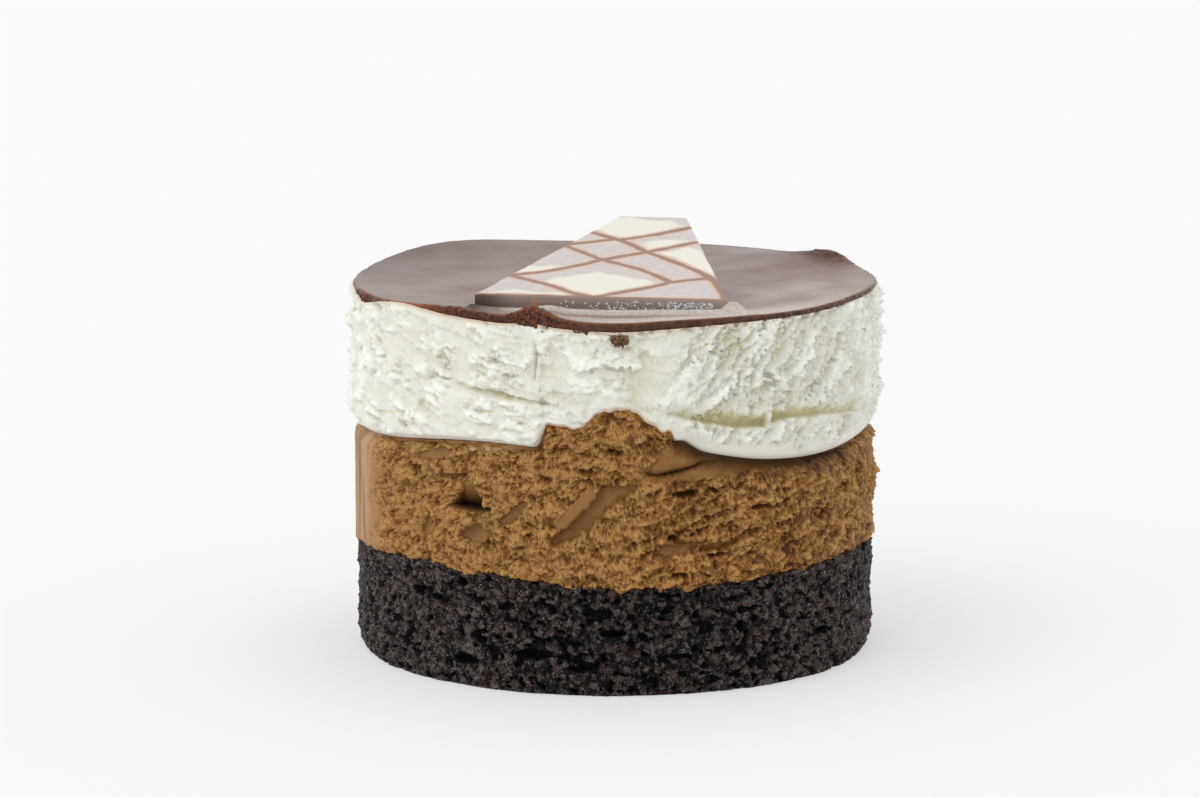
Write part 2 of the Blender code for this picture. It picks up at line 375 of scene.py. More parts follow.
crumb_finish = Finish("dark sponge crumb", {"IOR": 1.45, "Specular IOR Level": 0.25})
raised = crumb_finish.painted("raised")
speck = crumb_finish.noise(0.85, 6.0)
grit = crumb_finish.noise(0.26, 3.0)
tone = raised * 1.1 + 4.8 * (speck - 0.5) - 0.4
warm = crumb_finish.between(crumb_finish.noise(0.9, 3.0), 0.52, 0.62)
# Painted highlight: small bright glints in the crumb's colour.
painted_glint = crumb_finish.between(grit + 0.12 * (raised - 0.6), 0.6, 0.68)
# The crumb's colour: near black in the pores as painted shade, with reddish patches and painted glints.
colour = crumb_finish.layers(
    shade(1, 1, 1),
    (crumb_finish.between(tone, 0.05, 1.1), shade(88, 78, 74)),
    (warm * raised * 0.8, shade(70, 40, 34)),
    (painted_glint * raised * 0.8, shade(150, 144, 144)),
)
moist = crumb_finish.between(crumb_finish.noise(0.45, 2.0), 0.5, 0.66)
crumb_finish.dress(
    sponge,
    Base_Color=colour,
    Roughness=0.75 - 0.55 * moist,
    Normal=crumb_finish.bump(speck + 0.8 * grit, 0.45),
)
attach(sponge, "root")
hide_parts("sponge_base")

# Chocolate mousse
# Light brown mousse full of small bubbles. The knife tore its side open, drew the foam out to the right,
# and smeared it smooth in places. It has a soft shoulder under the white mousse, and a tongue of it was
# dragged up over the white one.
MOUSSE_RADIUS = 35.2
TIDE_HEIGHT = 30.3
TIDE_WAVES = (
    (-28.0, 30.0, 2.4),
    (0.8, 6.5, 3.4),
    (14.0, 14.0, 1.6),
    (54.0, 22.0, -1.0),
    (112.0, 16.0, -0.8),
    (-128.0, 24.0, 1.4),
)
TONGUE_RISE = 2.7
FRONT_TONGUE = (-15.2, 12.4, 0.9)
BACK_TONGUE = ((152.0, 9.0, 0.8),)
TONGUE_BUMPS = (
    (-14.8, 1.8, 1.1),
    (-11.0, 2.2, 1.0),
    (-3.8, 2.5, 0.6),
    (5.2, 2.2, 0.4),
    (10.4, 1.3, -0.4),
    (15.0, 3.2, 1.3),
)
TUCK_DEPTH = 1.3
TUCK_SWELLS = ((58.0, 34.0, 0.9), (-150.0, 26.0, 0.4))
SHOULDER_HEIGHT = 1.8
SHOULDER_SWELLS = ((20.0, 18.0, 1.7), (60.0, 26.0, 0.5), (-156.0, 28.0, 1.0))
CHOCOLATE_ROWS = 82
SHOULDER_ROWS = 22
# Parts of the side, as the bearings where each starts, is full, fades and ends: foam drawn out to the
# right, and, counted to the left, a smooth end with upright bands.
DRAWN_PART = (-8.0, 16.0, 150.0, 172.0)
BANDED_PART = (58.0, 72.0, 96.0, 116.0)
STEEPER = (40.0, 62.0)
# Where the ledge on the left gets a painted sheen.
SHEEN_SPOTS = ((-29.5, 6.5, 1.0),)


def tongue(bearing):
    """1 between the two bearings of the front tongue, and less at the one behind."""
    start, end, soft = FRONT_TONGUE
    front = 0.5 * (np.tanh((bearing - start) / soft) - np.tanh((bearing - end) / soft))
    return front + humps(bearing, BACK_TONGUE)


def tide_line(bearing):
    """Height where the mousses meet: a level with humps, and a rise on the tongue."""
    return TIDE_HEIGHT + humps(bearing, TIDE_WAVES) + TONGUE_RISE * tongue(bearing)


def tuck(bearing):
    """Depth of the groove between the mousses: a level with humps, nearly none on the tongue."""
    depth = TUCK_DEPTH + humps(bearing, TUCK_SWELLS)
    return depth * (1.0 - 0.93 * tongue(bearing))


def shoulder(bearing):
    """Height of the chocolate mousse's soft shoulder: a level with humps."""
    return SHOULDER_HEIGHT + humps(bearing, SHOULDER_SWELLS)


def sector(bearing, part):
    """1 within a part of the side and 0 outside it, with soft ends."""
    start, full, fade, end = part
    return rise(bearing, start, full) * (1.0 - rise(bearing, fade, end))


def mixed(one, other, share):
    """One value going over to another as share goes from 0 to 1."""
    return one * (1.0 - share) + other * share


def frayed(bearing, size, depth, seed):
    """Ragged waver of an edge in mm, from noise at a fixed height."""
    return depth * broken(placed(bearing, CAKE_RADIUS, 0.0), size, seed, 3, 0.6)


def leaning(bearing, height, lean, stretch):
    """Places on the unrolled side, along a line that leans from the horizontal and across it, in mm.

    The first is divided by stretch, so that a pattern read there is drawn out along that line.
    """
    slope = np.radians(lean)
    x = around(bearing)
    along = (x * np.cos(slope) + height * np.sin(slope)) / stretch
    across = height * np.cos(slope) - x * np.sin(slope)
    return np.stack([along, across, np.zeros_like(across)], axis=-1)


def meeting_line(bearing):
    """The line between the mousses, frayed where the tongue was dragged up."""
    waver = 0.25 * broken(placed(bearing, CAKE_RADIUS, 0.0), 1.3, 41, 2, 0.4)
    return tide_line(bearing) + waver * tongue(bearing) + humps(bearing, TONGUE_BUMPS)


def route_distance(bearing, height, route):
    """Distance in mm to a line through (bearing, height) points, how far along it, and the side of it."""
    x, z = np.broadcast_arrays(around(bearing), height)
    stops = np.array([(around(b), h) for b, h in route])
    runs = np.linalg.norm(np.diff(stops, axis=0), axis=1)
    nearest = np.full(x.shape, 1e3)
    along = np.zeros(x.shape)
    above = np.zeros(x.shape)
    done = 0.0
    for start, end, run in zip(stops[:-1], stops[1:], runs):
        way = (end - start) / run
        t = np.clip((x - start[0]) * way[0] + (z - start[1]) * way[1], 0.0, run)
        dx, dz = x - start[0] - t * way[0], z - start[1] - t * way[1]
        away = np.hypot(dx, dz)
        closer = away < nearest
        nearest = np.where(closer, away, nearest)
        along = np.where(closer, (done + t) / runs.sum(), along)
        above = np.where(closer, np.sign(way[0] * dz - way[1] * dx), above)
        done += run
    return nearest, along, above


def crests(points, size, seed, octaves=4, fade=0.74):
    """Torn foam from 0 to about 2: crests (1 - |lumps| / 0.45) squared, with finer ones on them."""
    total = np.zeros(points.shape[:-1])
    carry = 1.0
    for k in range(octaves):
        crest = np.clip(1.0 - np.abs(lumps(points, size / 2.0**k, seed + k)) / 0.45, 0.0, 1.0) ** 2
        total = total + fade**k * crest * carry
        carry = np.clip(0.45 + crest, 0.0, 1.0)
    return total


def bubbles(points, size, seed):
    """Open bubbles strewn one to a cubic cell, many of them missing: (1 - d^2) to the power 1/2."""
    spot = warped(points, 0.3 * size, 0.7 * size, seed) / size + 11.7 * seed
    cell = np.floor(spot).astype(int)
    deep = np.zeros(spot.shape[:-1])
    for step in itertools.product((-1, 0, 1), repeat=3):
        code = shuffled(cell + np.array(step))
        away = np.linalg.norm(cell + step + STREWN[code] - spot, axis=-1)
        reach = 0.1 + 0.42 * rise(code / 255.0, 0.35, 1.0)
        deep = np.maximum(deep, np.sqrt(np.clip(1.0 - (away / reach) ** 2, 0.0, 1.0)) * reach)
    return 2.0 * deep


def torn_steps(points, size, step, seed, octaves=4):
    """Steps 1 high in a swelling: levels, each torn lip and foot line, for painted highlight and shade."""
    level = broken(points, size, seed, octaves, 0.48) / step
    whole = np.floor(level)
    share = level - whole
    lip = np.exp(-(((share - 0.3) / 0.12) ** 2))
    foot = np.maximum(rise(share, 0.84, 1.0), rise(share, 0.14, 0.02))
    return whole + rise(share, 0.06, 0.24) + 0.5 * lip, lip, foot


def shingles(bearing, height, lean, wide, seed):
    """Overlapping flakes from 0 to 1, the foot line of each for painted shade, its broken edge for
    highlight.

    Each falls off to the upper left and breaks off on its lower right.
    """
    flat = leaning(bearing, height, lean, 2.4)
    wall = placed(bearing, CAKE_RADIUS, height)
    bent = flat[..., 1] / wide + 0.7 * broken(flat, 3.2, seed, 2, 0.6)
    bent += 0.22 * broken(wall, 0.9, seed + 5, 3, 0.7)
    tooth = bent - np.floor(bent)
    foot = np.maximum(rise(tooth, 0.86, 1.0), rise(tooth, 0.12, 0.0))
    edge = rise(tooth, 0.06, 0.16) * rise(tooth, 0.34, 0.2)
    return (1.0 - tooth) * rise(tooth, 0.0, 0.16), foot, edge


# Smooth places where the blade drew the mousse: a line through them, half width and depth.
SMEARS = (
    (((-34.0, 20.2), (-28.6, 20.9)), 1.3, 0.75),
    (((-24.5, 22.6), (-19.6, 25.2)), 0.8, 0.5),
    (((-45.0, 19.6), (-43.6, 22.2)), 0.7, 0.35),
    (((-13.2, 20.4), (-7.6, 22.4), (-1.0, 26.9), (3.5, 27.6)), 1.15, 0.95),
    (((9.0, 19.0), (17.5, 19.9)), 0.75, 1.0),
    (((18.6, 19.3), (27.0, 20.0)), 0.5, 0.9),
    (((-46.5, 30.0), (-38.0, 31.0)), 0.8, 0.2),
)
# A flap of smooth mousse stands up along a line.
FLAP = ((-11.0, 22.9), (-5.0, 26.6))
# Right of the tongue a smooth ledge reaches down to a height, from a bearing on that leans with height.
LEDGE_FOOT = 28.7
LEDGE_START = 5.0
LEDGE_SLANT = 1.5
# The dark pocket on the left: bearing and height of its floor, half width, height and depth.
POCKET = (-32.6, 23.6, 3.5, 3.8, 2.7)
# Bearing, height, half width, half height and depth of each slit in the foam.
SLITS = (
    (-50.2, 28.3, 1.1, 0.5, 1.3),
    (-47.5, 28.2, 0.9, 0.5, 1.1),
    (-35.1, 28.1, 1.0, 0.35, 1.1),
    (-39.3, 26.7, 0.9, 0.3, 1.0),
    (-56.1, 21.3, 0.7, 1.2, 1.1),
    (-44.4, 17.2, 0.5, 0.5, 1.2),
    (-21.0, 19.4, 1.0, 0.4, 0.9),
    (-6.1, 29.8, 1.0, 0.4, 1.5),
    (-11.7, 32.4, 1.1, 0.5, 1.2),
    (0.2, 32.2, 1.4, 0.35, 1.3),
    (15.6, 26.4, 2.0, 0.4, 1.5),
    (21.2, 26.9, 1.0, 0.35, 1.5),
    (12.8, 20.6, 0.9, 0.35, 1.4),
    (22.6, 18.4, 1.8, 0.3, 1.2),
    (13.9, 15.9, 1.2, 0.3, 1.0),
    (33.0, 24.0, 1.6, 0.3, 1.1),
    (61.9, 24.3, 1.0, 1.0, 1.2),
    (51.8, 22.1, 0.8, 0.6, 1.1),
    (100.0, 21.0, 1.8, 0.6, 1.4),
    (138.0, 26.0, 1.5, 0.6, 1.3),
    (-126.0, 24.0, 2.0, 0.8, 1.6),
    (-140.0, 20.0, 1.4, 0.5, 1.2),
    (178.0, 23.5, 1.7, 0.6, 1.5),
)
# Bearing, height, half size and height of each tuft that stands out from the side.
TUFTS = (
    (83.0, 29.6, 0.9, 1.0),
    (84.0, 24.2, 0.8, 0.8),
    (46.5, 28.1, 1.1, 0.5),
    (-6.0, 24.9, 0.9, 0.4),
    (117.0, 27.0, 1.1, 0.9),
    (-122.0, 19.5, 1.2, 0.8),
)
# The crease under the ledge, from left to right.
LEDGE_CREASE = ((4.5, 29.6), (9.0, 29.1), (13.5, 29.5), (18.5, 30.2), (24.0, 30.5))

top = meeting_line(bearing)
low = sponge_line(bearing) - 0.15 + frayed(bearing, 2.6, 0.45, 42)
slope_rows = np.linspace(0.0, 1.0, SHOULDER_ROWS, endpoint=False)[:, None]
face_rows = np.linspace(0.0, 1.0, CHOCOLATE_ROWS)[:, None]
face_top = top - shoulder(bearing)
height = np.concatenate([top + (face_top - top) * slope_rows, face_top + (low - face_top) * face_rows])
wall = placed(bearing, CAKE_RADIUS, height)
slope = rise(top - height, shoulder(bearing), 0.0) ** 1.3

right = sector(bearing, DRAWN_PART)
left_end = sector(-bearing, BANDED_PART)
steep = rise(bearing, *STEEPER)
open_foam = crests(warped(wall * (1.0, 1.0, 1.4), 0.6, 1.9, 41), 2.1, 21)
pulled = crests(warped(leaning(bearing, height, 22.0, 2.6), 0.5, 1.6, 44), 1.6, 24)
pulled_up = crests(warped(leaning(bearing, height, 46.0, 2.2), 0.5, 1.6, 47), 1.6, 27)
torn = mixed(open_foam, mixed(pulled, pulled_up, steep), right)
strands, strands_foot, strands_edge = shingles(bearing, height, 16.0, 2.1, 34)
strands_up, strands_up_foot, strands_up_edge = shingles(bearing, height, 44.0, 1.9, 37)
strands = mixed(strands, strands_up, steep)
drawn = rise(broken(wall, 4.0, 52, 2), -0.25, 0.5)
strands_foot = mixed(strands_foot, strands_up_foot, steep) * right * drawn
strands_edge = mixed(strands_edge, strands_up_edge, steep) * right * drawn
shreds, shred_lip, shred_foot = torn_steps(warped(wall * (1.0, 1.0, 1.5), 0.5, 1.2, 63), 2.3, 0.42, 66)
holes = 0.36 * bubbles(wall * (1.0, 1.0, 1.9), 2.2, 12) + 0.25 * bubbles(wall * (1.0, 1.0, 1.6), 1.2, 14)
rough = 0.3 * torn * (1.0 - 0.35 * right) + 0.24 * shreds * (1.0 - right) - 0.35
rough -= holes * (1.0 - 0.5 * right)
rough += (0.75 * strands * drawn - 0.15) * right
broad_swell = broken(wall, 4.4, 51, 2)
rough += 0.4 * broad_swell
fine = crests(warped(wall, 0.3, 1.0, 58), 1.0, 55, 2)
rough += 0.24 * fine * (1.0 - 0.2 * right) - 0.12
upright = np.stack([around(bearing) / 1.6 + 0.0 * height, height / 16.0, height * 0.0], axis=-1)
banded = broken(upright, 1.0, 53, 3)
rough = rough * (1.0 - 0.88 * left_end) + 0.5 * banded * left_end

start_of_ledge = LEDGE_START + LEDGE_SLANT * (height - LEDGE_FOOT) + 1.2 * broken(wall, 1.3, 59, 3)
on_right = rise(bearing - start_of_ledge, -0.7, 0.7) * (1.0 - rise(bearing, 58.0, 76.0))
ledge_left = shoulder(bearing) * (0.2 + 0.35 * humps(bearing, ((-29.0, 8.0, 1.0),)))
ledge_left = ledge_left * (1.0 + 0.8 * broken(wall, 1.6, 57, 3))
ledge_right = np.maximum(top - LEDGE_FOOT + 0.5 * broken(wall, 1.8, 57, 3), 0.3)
ledge = mixed(ledge_left, ledge_right, on_right)
off_tongue = 1.0 - tongue(bearing) * (1.0 - on_right)
on_ledge = rise(top - height, ledge * 1.12, ledge * 0.88) * off_tongue
smear = np.maximum(on_ledge, 0.85 * left_end)
carved = np.zeros_like(height)
smear_shade = np.zeros_like(height)
for route, half_width, deep in SMEARS:
    away, along, above = route_distance(bearing, height, route)
    ends = 1.0 - 0.5 * (2.0 * along - 1.0) ** 2
    ragged = half_width * ends * (1.0 + 0.55 * broken(wall, 1.3, 61, 4, 0.6))
    inside = 1.0 - rise(away, ragged * 0.88, ragged * 1.04)
    bowl = deep * (0.55 + 0.6 * np.sqrt(np.clip(1.0 - (away / ragged) ** 2, 0.0, 1.0)))
    carved = carved * (1.0 - inside) - bowl * inside
    smear = np.maximum(smear, inside)
    # Painted shade along the upper side of each smear.
    smear_shade = np.maximum(smear_shade, inside * rise(above * away, -0.5 * half_width, 0.9 * half_width))
away, _, _ = route_distance(bearing, height, FLAP)
flap = rise(away, 1.0, 0.7)
smear = np.maximum(smear, flap)
rough = rough * (1.0 - 0.9 * smear) + 0.5 * flap * (1.0 - (away / 1.4) ** 2)
for centre, level, reach, tall in TUFTS:
    x = around(turn_from(bearing, centre))
    rough += tall * np.exp(-(x**2 + (height - level) ** 2) / reach**2)

centre, floor_height, half_width, tall, deep = POCKET
x = around(turn_from(bearing, centre))
up = (height - floor_height - 0.35 * (x / half_width) ** 2) / tall
narrow = half_width * (1.0 - 0.8 * np.clip(up, 0.0, 1.0) ** 0.7) * (1.0 + 0.25 * broken(wall, 1.0, 62, 2))
in_pocket = rise(narrow - np.abs(x), 0.0, 0.3) * rise(up, -0.02, 0.02) * (1.0 - rise(up, 0.85, 1.05))
slant = np.clip(1.0 - up, 0.0, 1.0) ** 1.3
rough = rough * (1.0 - in_pocket) - deep * in_pocket * slant
smear = np.maximum(smear, in_pocket)
slits = caverns(bearing, height, SLITS)

away, along, above = route_distance(bearing, height, LEDGE_CREASE)
fold = (rise(away, 1.1, 0.0) * 0.8 + rise(away, 0.3, 0.0) * 0.8) * np.sin(np.pi * along) ** 0.6
crease = np.where(above > 0, fold, 0.35 * fold)
under_lip = rise(top - height, 1.6 + 1.2 * rise(bearing, 10.0, 16.0), 0.1) * on_right
relief = rough + carved - slits - crease - 0.9 * under_lip
radius = MOUSSE_RADIUS - tuck(bearing) * slope + relief - 0.5 * (1.0 - rise(height - low, 0.0, 0.7)) ** 2
inner = rise(height - low, 0.0, 1.5) * rise(top - height, 0.0, 1.5)
droop = 0.3 * (relief - relief.mean()) * (1.0 - smear) * inner
rings = with_caps(placed(bearing, radius, height - droop), TIDE_HEIGHT, SPONGE_HEIGHT)
# Colour by relief: lighter on crests, partly the thin foam's own colour, and darker in hollows and over the
# whole right part as painted shade.
level = rough - slits + 0.4 * (1.0 - drawn) * right - 0.3 * broad_swell
crest = 0.6 * rise(level, -1.0, 0.5) + 0.4 * rise(torn + 0.8 * fine, 0.3, 2.6) + 0.17 - 0.3 * right
streaks = rise(broken(wall * (0.5, 0.5, 2.0), 1.0, 68, 2), -0.3, 0.2)
# Painted sheen on the ledge on the left. The upright bands are the smooth end's own colour.
painted_sheen = on_ledge * humps(bearing, SHEEN_SPOTS) * streaks
banding = left_end * rise(banded, -0.25, 0.35) * rise(bearing, -98.0, -74.0)
# Painted shade in the pocket, under the white lip, along the smears and in the ledge's crease.
shaded_hollows = np.max([1.5 * in_pocket * slant, 0.95 * under_lip, 0.45 * smear_shade, 0.9 * crease], axis=0)
# Painted highlight on torn lips, fine crests and the broken edges of drawn strands.
highlit_lips = np.max([0.7 * shred_lip * (1.0 - right), rise(fine, 0.7, 1.5), 1.6 * strands_edge], axis=0)
# Painted shade: dark lines at the feet of torn steps and strands, and between fine crests.
shaded_feet = np.max([shred_foot * (1.0 - right), 1.5 * strands_foot, rise(fine, 0.12, 0.0)], axis=0)
film = tongue(bearing) * rise(top - height, 0.5, 0.1)
chocolate = skin(
    "chocolate_layer",
    rings,
    raised=capped(crest),
    smear=capped(smear),
    hollow=capped(shaded_hollows),
    band=capped(np.maximum(banding, 1.5 * painted_sheen)),
    lip=capped(highlit_lips * (1.0 - smear)),
    film=capped(film),
    foot=capped(shaded_feet * (1.0 - smear)),
)

mousse_finish = Finish(
    "chocolate mousse",
    {
        "IOR": 1.42,
        "Specular IOR Level": 0.35,
        "Subsurface Weight": 0.03,
        "Subsurface Radius": (1.0, 0.5, 0.25),
        "Subsurface Scale": 0.6 * MM,
    },
)
raised = mousse_finish.painted("raised")
smear_wire = mousse_finish.painted("smear")
froth = mousse_finish.noise(0.42, 4.0)
height_tone = raised + 0.7 * (froth - 0.5)
# Painted highlight: small bright glints on the crests.
painted_sparkle = mousse_finish.between(mousse_finish.noise(0.2, 2.0), 0.57, 0.66)
smooth_tone = mousse_finish.blend(mousse_finish.noise(1.6, 4.0), shade(100, 66, 28), shade(142, 99, 48))
# The mousse's colour: relief tone with painted shade, painted shade at feet and in hollows, painted
# highlights on lips and glints, a painted sheen on the ledge, and the smooth smears, bands and film.
colour = mousse_finish.layers(
    shade(84, 46, 8),
    (mousse_finish.between(height_tone, 0.1, 0.4), shade(160, 107, 44)),
    (mousse_finish.between(height_tone, 0.38, 0.78), shade(216, 158, 84)),
    (mousse_finish.painted("foot") * 0.5, shade(92, 54, 14)),
    (mousse_finish.painted("lip") * raised * 0.6, shade(232, 184, 120)),
    (painted_sparkle * raised * 0.8, shade(240, 198, 146)),
    (smear_wire * 0.85, smooth_tone),
    (mousse_finish.painted("band") * 0.6, shade(200, 164, 124)),
    (mousse_finish.painted("film") * 0.6, shade(204, 132, 58)),
    (mousse_finish.painted("hollow") * 0.8, shade(34, 18, 8)),
)
froth_height = (froth + 0.5 * mousse_finish.noise(0.14, 1.0)) * (1.0 - 0.85 * smear_wire)
mousse_finish.dress(
    chocolate,
    Base_Color=colour,
    Roughness=0.52 - 0.06 * smear_wire,
    Normal=mousse_finish.bump(froth_height, 0.7),
)
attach(chocolate, "root")
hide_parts("chocolate_mousse")

# White mousse
# A firmer pale mousse. Its lower edge set round against the chocolate mousse, and above that the side is
# torn: scraped plates and pits on the left, and flakes pulled up to the right on the right. Its upper
# edge carries stains of the glaze.
LIP_HEIGHT = 2.0
LIP_SWELLS = ((54.0, 34.0, 1.3), (-140.0, 30.0, 0.5))
LIP_ROWS = 18
WHITE_ROWS = 86
# Parts of the side where the lower edge is taller and where the flakes are pulled up, and at the right
# end of those the places with weaker flakes, with more crests, and with a stained rim.
TALL_LIP_PART = (8.0, 20.0, 118.0, 150.0)
PULLED_PART = (8.0, 22.0, 118.0, 150.0)
CALM_END = ((92.0, 24.0, 0.6),)
CRESTED_END = ((92.0, 22.0, 1.0),)
STAINED_RIM = ((-20.0, 60.0, 1.0),)
RIM_HEIGHT = 49.5
RIM_LIFTS = (
    (-137.0, 24.0, 1.3),
    (-48.0, 12.0, 0.4),
    (-17.3, 4.0, 1.0),
    (0.0, 10.0, -0.3),
    (62.0, 28.0, 0.5),
    (122.0, 9.0, 1.2),
    (48.0, 18.0, -0.4),
)
GLAZE_THIN_EDGE = 0.6
GLAZE_DRIPS = (
    (-135.0, 25.0, 0.3),
    (-71.0, 7.0, 0.75),
    (-53.0, 8.0, -0.43),
    (-17.0, 4.0, 0.5),
    (2.0, 27.0, 0.65),
    (62.0, 26.0, 0.15),
    (122.0, 10.0, 0.5),
)
# Lines through (bearing, height) points: a crease on the left, a torn trench on the right, a crack under
# the glaze, and a strand that spans the trench.
WHITE_CREASE = ((-34.5, 40.4), (-25.1, 39.7), (-18.2, 38.9), (-11.2, 38.5))
WHITE_TRENCH = (
    (10.5, 37.6),
    (19.3, 36.1),
    (26.7, 35.1),
    (33.8, 34.9),
    (37.5, 35.5),
    (47.0, 35.4),
    (61.0, 34.6),
    (68.0, 34.2),
)
WHITE_CRACK = ((-17.0, 47.0), (-16.6, 44.5), (-17.2, 41.2))
WHITE_STRAND = ((35.0, 38.4), (35.0, 33.2))
# Bearing, height, half length, half width, lean and thickness of the largest flakes. Each breaks off along
# the edge on its right as one looks along it.
BIG_FLAKES = (
    (0.8, 44.9, 3.4, 1.5, -7.0, 1.0),
    (-5.4, 44.2, 1.8, 1.0, 12.0, 0.7),
    (-19.6, 44.6, 1.5, 1.5, 60.0, 0.7),
    (-30.0, 44.4, 1.6, 1.1, 20.0, 0.6),
    (-27.0, 41.4, 2.6, 1.2, -10.0, 0.7),
    (-46.0, 42.0, 1.6, 1.2, 30.0, 0.6),
    (15.2, 41.4, 3.6, 1.3, 229.0, 1.0),
    (21.5, 39.6, 2.2, 1.0, 38.0, 0.9),
    (27.5, 41.4, 2.4, 1.0, 55.0, 0.8),
    (35.5, 40.2, 2.2, 1.0, 48.0, 0.8),
    (43.0, 42.6, 2.4, 1.1, 60.0, 0.8),
    (30.0, 45.4, 1.8, 0.9, 60.0, 0.6),
    (52.0, 40.0, 2.0, 1.0, 45.0, 0.8),
    (29.6, 34.2, 1.5, 0.8, 25.0, 0.8),
    (22.6, 33.9, 1.6, 0.7, -5.0, 0.6),
    (17.0, 34.3, 1.2, 0.6, -25.0, 0.5),
    (-20.5, 37.6, 2.4, 0.7, -8.0, 0.6),
    (-28.5, 38.2, 1.6, 0.8, 5.0, 0.6),
    (-110.0, 42.0, 3.0, 1.4, 20.0, 0.9),
    (-150.0, 40.0, 3.4, 1.5, -12.0, 0.9),
    (170.0, 43.0, 2.8, 1.4, 35.0, 0.9),
)
# Bearing, height, half width, half height and depth of places where a smooth scoop came away.
SCOOPS = (
    (6.5, 41.4, 3.2, 3.8, 0.5),
    (-12.5, 43.8, 2.2, 2.6, 0.45),
    (-43.0, 36.6, 2.2, 1.0, 0.5),
    (-135.0, 44.0, 3.0, 2.0, 0.7),
    (155.0, 38.5, 3.2, 1.8, 0.7),
)


def rim_line(bearing):
    """Height of the glaze's edge: a level with lifts."""
    return RIM_HEIGHT + humps(bearing, RIM_LIFTS)


def glaze_edge(bearing):
    """Thickness of the glaze's cut edge: a thin one with drips."""
    return GLAZE_THIN_EDGE + humps(bearing, GLAZE_DRIPS)


def lip(bearing):
    """Height of the white mousse's round lower edge: a level with humps."""
    return LIP_HEIGHT + humps(bearing, LIP_SWELLS)


def big_flakes(bearing, height, wall, rows):
    """The largest flakes in mm, each a wedge whose thickness falls evenly from its broken edge."""
    total = np.zeros_like(height)
    ragged = 0.45 * broken(wall, 1.5, 97, 4, 0.6)
    for centre, level, half_length, half_width, lean, thick in rows:
        place = leaning(turn_from(bearing, centre), height - level, lean, 1.0)
        along = place[..., 0] / half_length + 0.6 * ragged
        across = place[..., 1] / half_width + ragged
        wedge = 0.5 * (1.0 - across) * rise(across, -1.0, -0.85) * rise(across, 1.0, 0.6)
        total = np.maximum(total, thick * wedge * rise(np.abs(along), 1.0, 0.7))
    return total


low = meeting_line(bearing) + 0.05
top = rim_line(bearing) - glaze_edge(bearing) + 0.1
arc = np.linspace(0.0, 0.5 * np.pi, LIP_ROWS + 1)[1:, None]
lip_top = low + lip(bearing)
face_rows = np.linspace(0.0, 1.0, WHITE_ROWS)[:, None]
height = np.concatenate([top + (lip_top - top) * face_rows, low + lip(bearing) * (1.0 - np.sin(arc))])
curl = np.concatenate([np.zeros((WHITE_ROWS, COLUMNS)), (1.0 - np.cos(arc)) * np.ones(COLUMNS)])
wall = placed(bearing, CAKE_RADIUS, height)

tongue_here = tongue(bearing)
lip_share = 0.3 + 0.35 * sector(bearing, TALL_LIP_PART)
lip_edge = lip(bearing) * lip_share * (1.0 + 0.35 * broken(wall, 2.4, 98, 3))
over_lip = rise(height - low, 0.6 * lip_edge, 1.3 * lip_edge)
over_lip = np.maximum(over_lip, tongue_here * rise(height - low, -0.1, 0.4))
right = sector(bearing, PULLED_PART)
centre = rise(bearing, -26.0, -14.0) * (1.0 - right)
bent = warped(wall * (1.0, 1.0, 1.15), 0.5, 1.7, 71)
patchy = rise(broken(wall, 3.4, 83, 2), -0.12, 0.28)
broad, _, _ = torn_steps(bent, 5.2, 0.6, 74, 3)
scraps, _, _ = torn_steps(bent, 2.3, 0.5, 78)
plates, plates_foot, _ = shingles(bearing, height, -12.0, 3.4, 104)
chips, chips_foot, _ = shingles(bearing, height, -24.0, 1.5, 108)
scratches, scratches_foot, _ = shingles(bearing, height, -5.0, 2.4, 112)
torn_left = 0.8 * plates * (0.35 + 0.65 * patchy) + 0.5 * chips * (0.2 + 0.8 * patchy)
torn = mixed(torn_left, 0.2 * broad + 0.1 * scraps * patchy + 0.3 * scratches, centre)
torn -= 0.8 * bubbles(wall * (1.0, 1.0, 1.8), 1.9, 82) * (1.0 - 0.6 * centre) * (0.25 + 0.75 * patchy)
flakes, flakes_foot, _ = shingles(bearing, height, 52.0, 4.2, 84)
scales, scales_foot, _ = shingles(bearing, height, 42.0, 1.8, 88)
scales = scales * (1.0 - humps(bearing, CALM_END))
pulled = 1.4 * flakes * (0.45 + 0.55 * patchy) + 0.7 * scales * (1.0 - 0.6 * patchy)
pulled += 0.3 * crests(warped(leaning(bearing, height, 50.0, 2.2), 0.4, 1.2, 86), 1.2, 92, 3) - 0.75
pulled += 0.7 * crests(warped(wall, 0.5, 1.5, 87), 3.2, 94, 1) * humps(bearing, CRESTED_END)
# Painted shade: olive lines at the feet of plates, chips and scratches on the left, and of flakes and
# scales on the right.
left_shaded_feet = np.maximum(plates_foot * (0.35 + 0.65 * patchy), 0.4 * chips_foot * patchy)
left_shaded_feet = mixed(left_shaded_feet, 0.4 * scratches_foot, centre)
right_shaded_feet = np.maximum(flakes_foot * (0.45 + 0.55 * patchy), 0.6 * scales_foot * (1.0 - 0.7 * patchy))
shaded_feet = mixed(left_shaded_feet, 0.6 * right_shaded_feet, right)
rough = mixed(torn, pulled, right) + 0.35 * broken(wall, 5.5, 91, 2)
rough += 0.05 * broken(wall, 0.5, 93, 2) * (0.3 + 0.7 * patchy)
for spot, level, half_width, half_height, deep in SCOOPS:
    a = around(turn_from(bearing, spot)) / half_width
    b = (height - level) / half_height
    bowl = rise(a * a + b * b + 0.8 * broken(wall, 2.4, 99, 4, 0.6), 1.25, 0.45)
    rough = rough * (1.0 - 0.75 * bowl) - deep * bowl * (0.55 - 0.45 * np.clip(a - 0.5 * b, -1.0, 1.0))
rough += big_flakes(bearing, height, wall, BIG_FLAKES)
rough *= over_lip

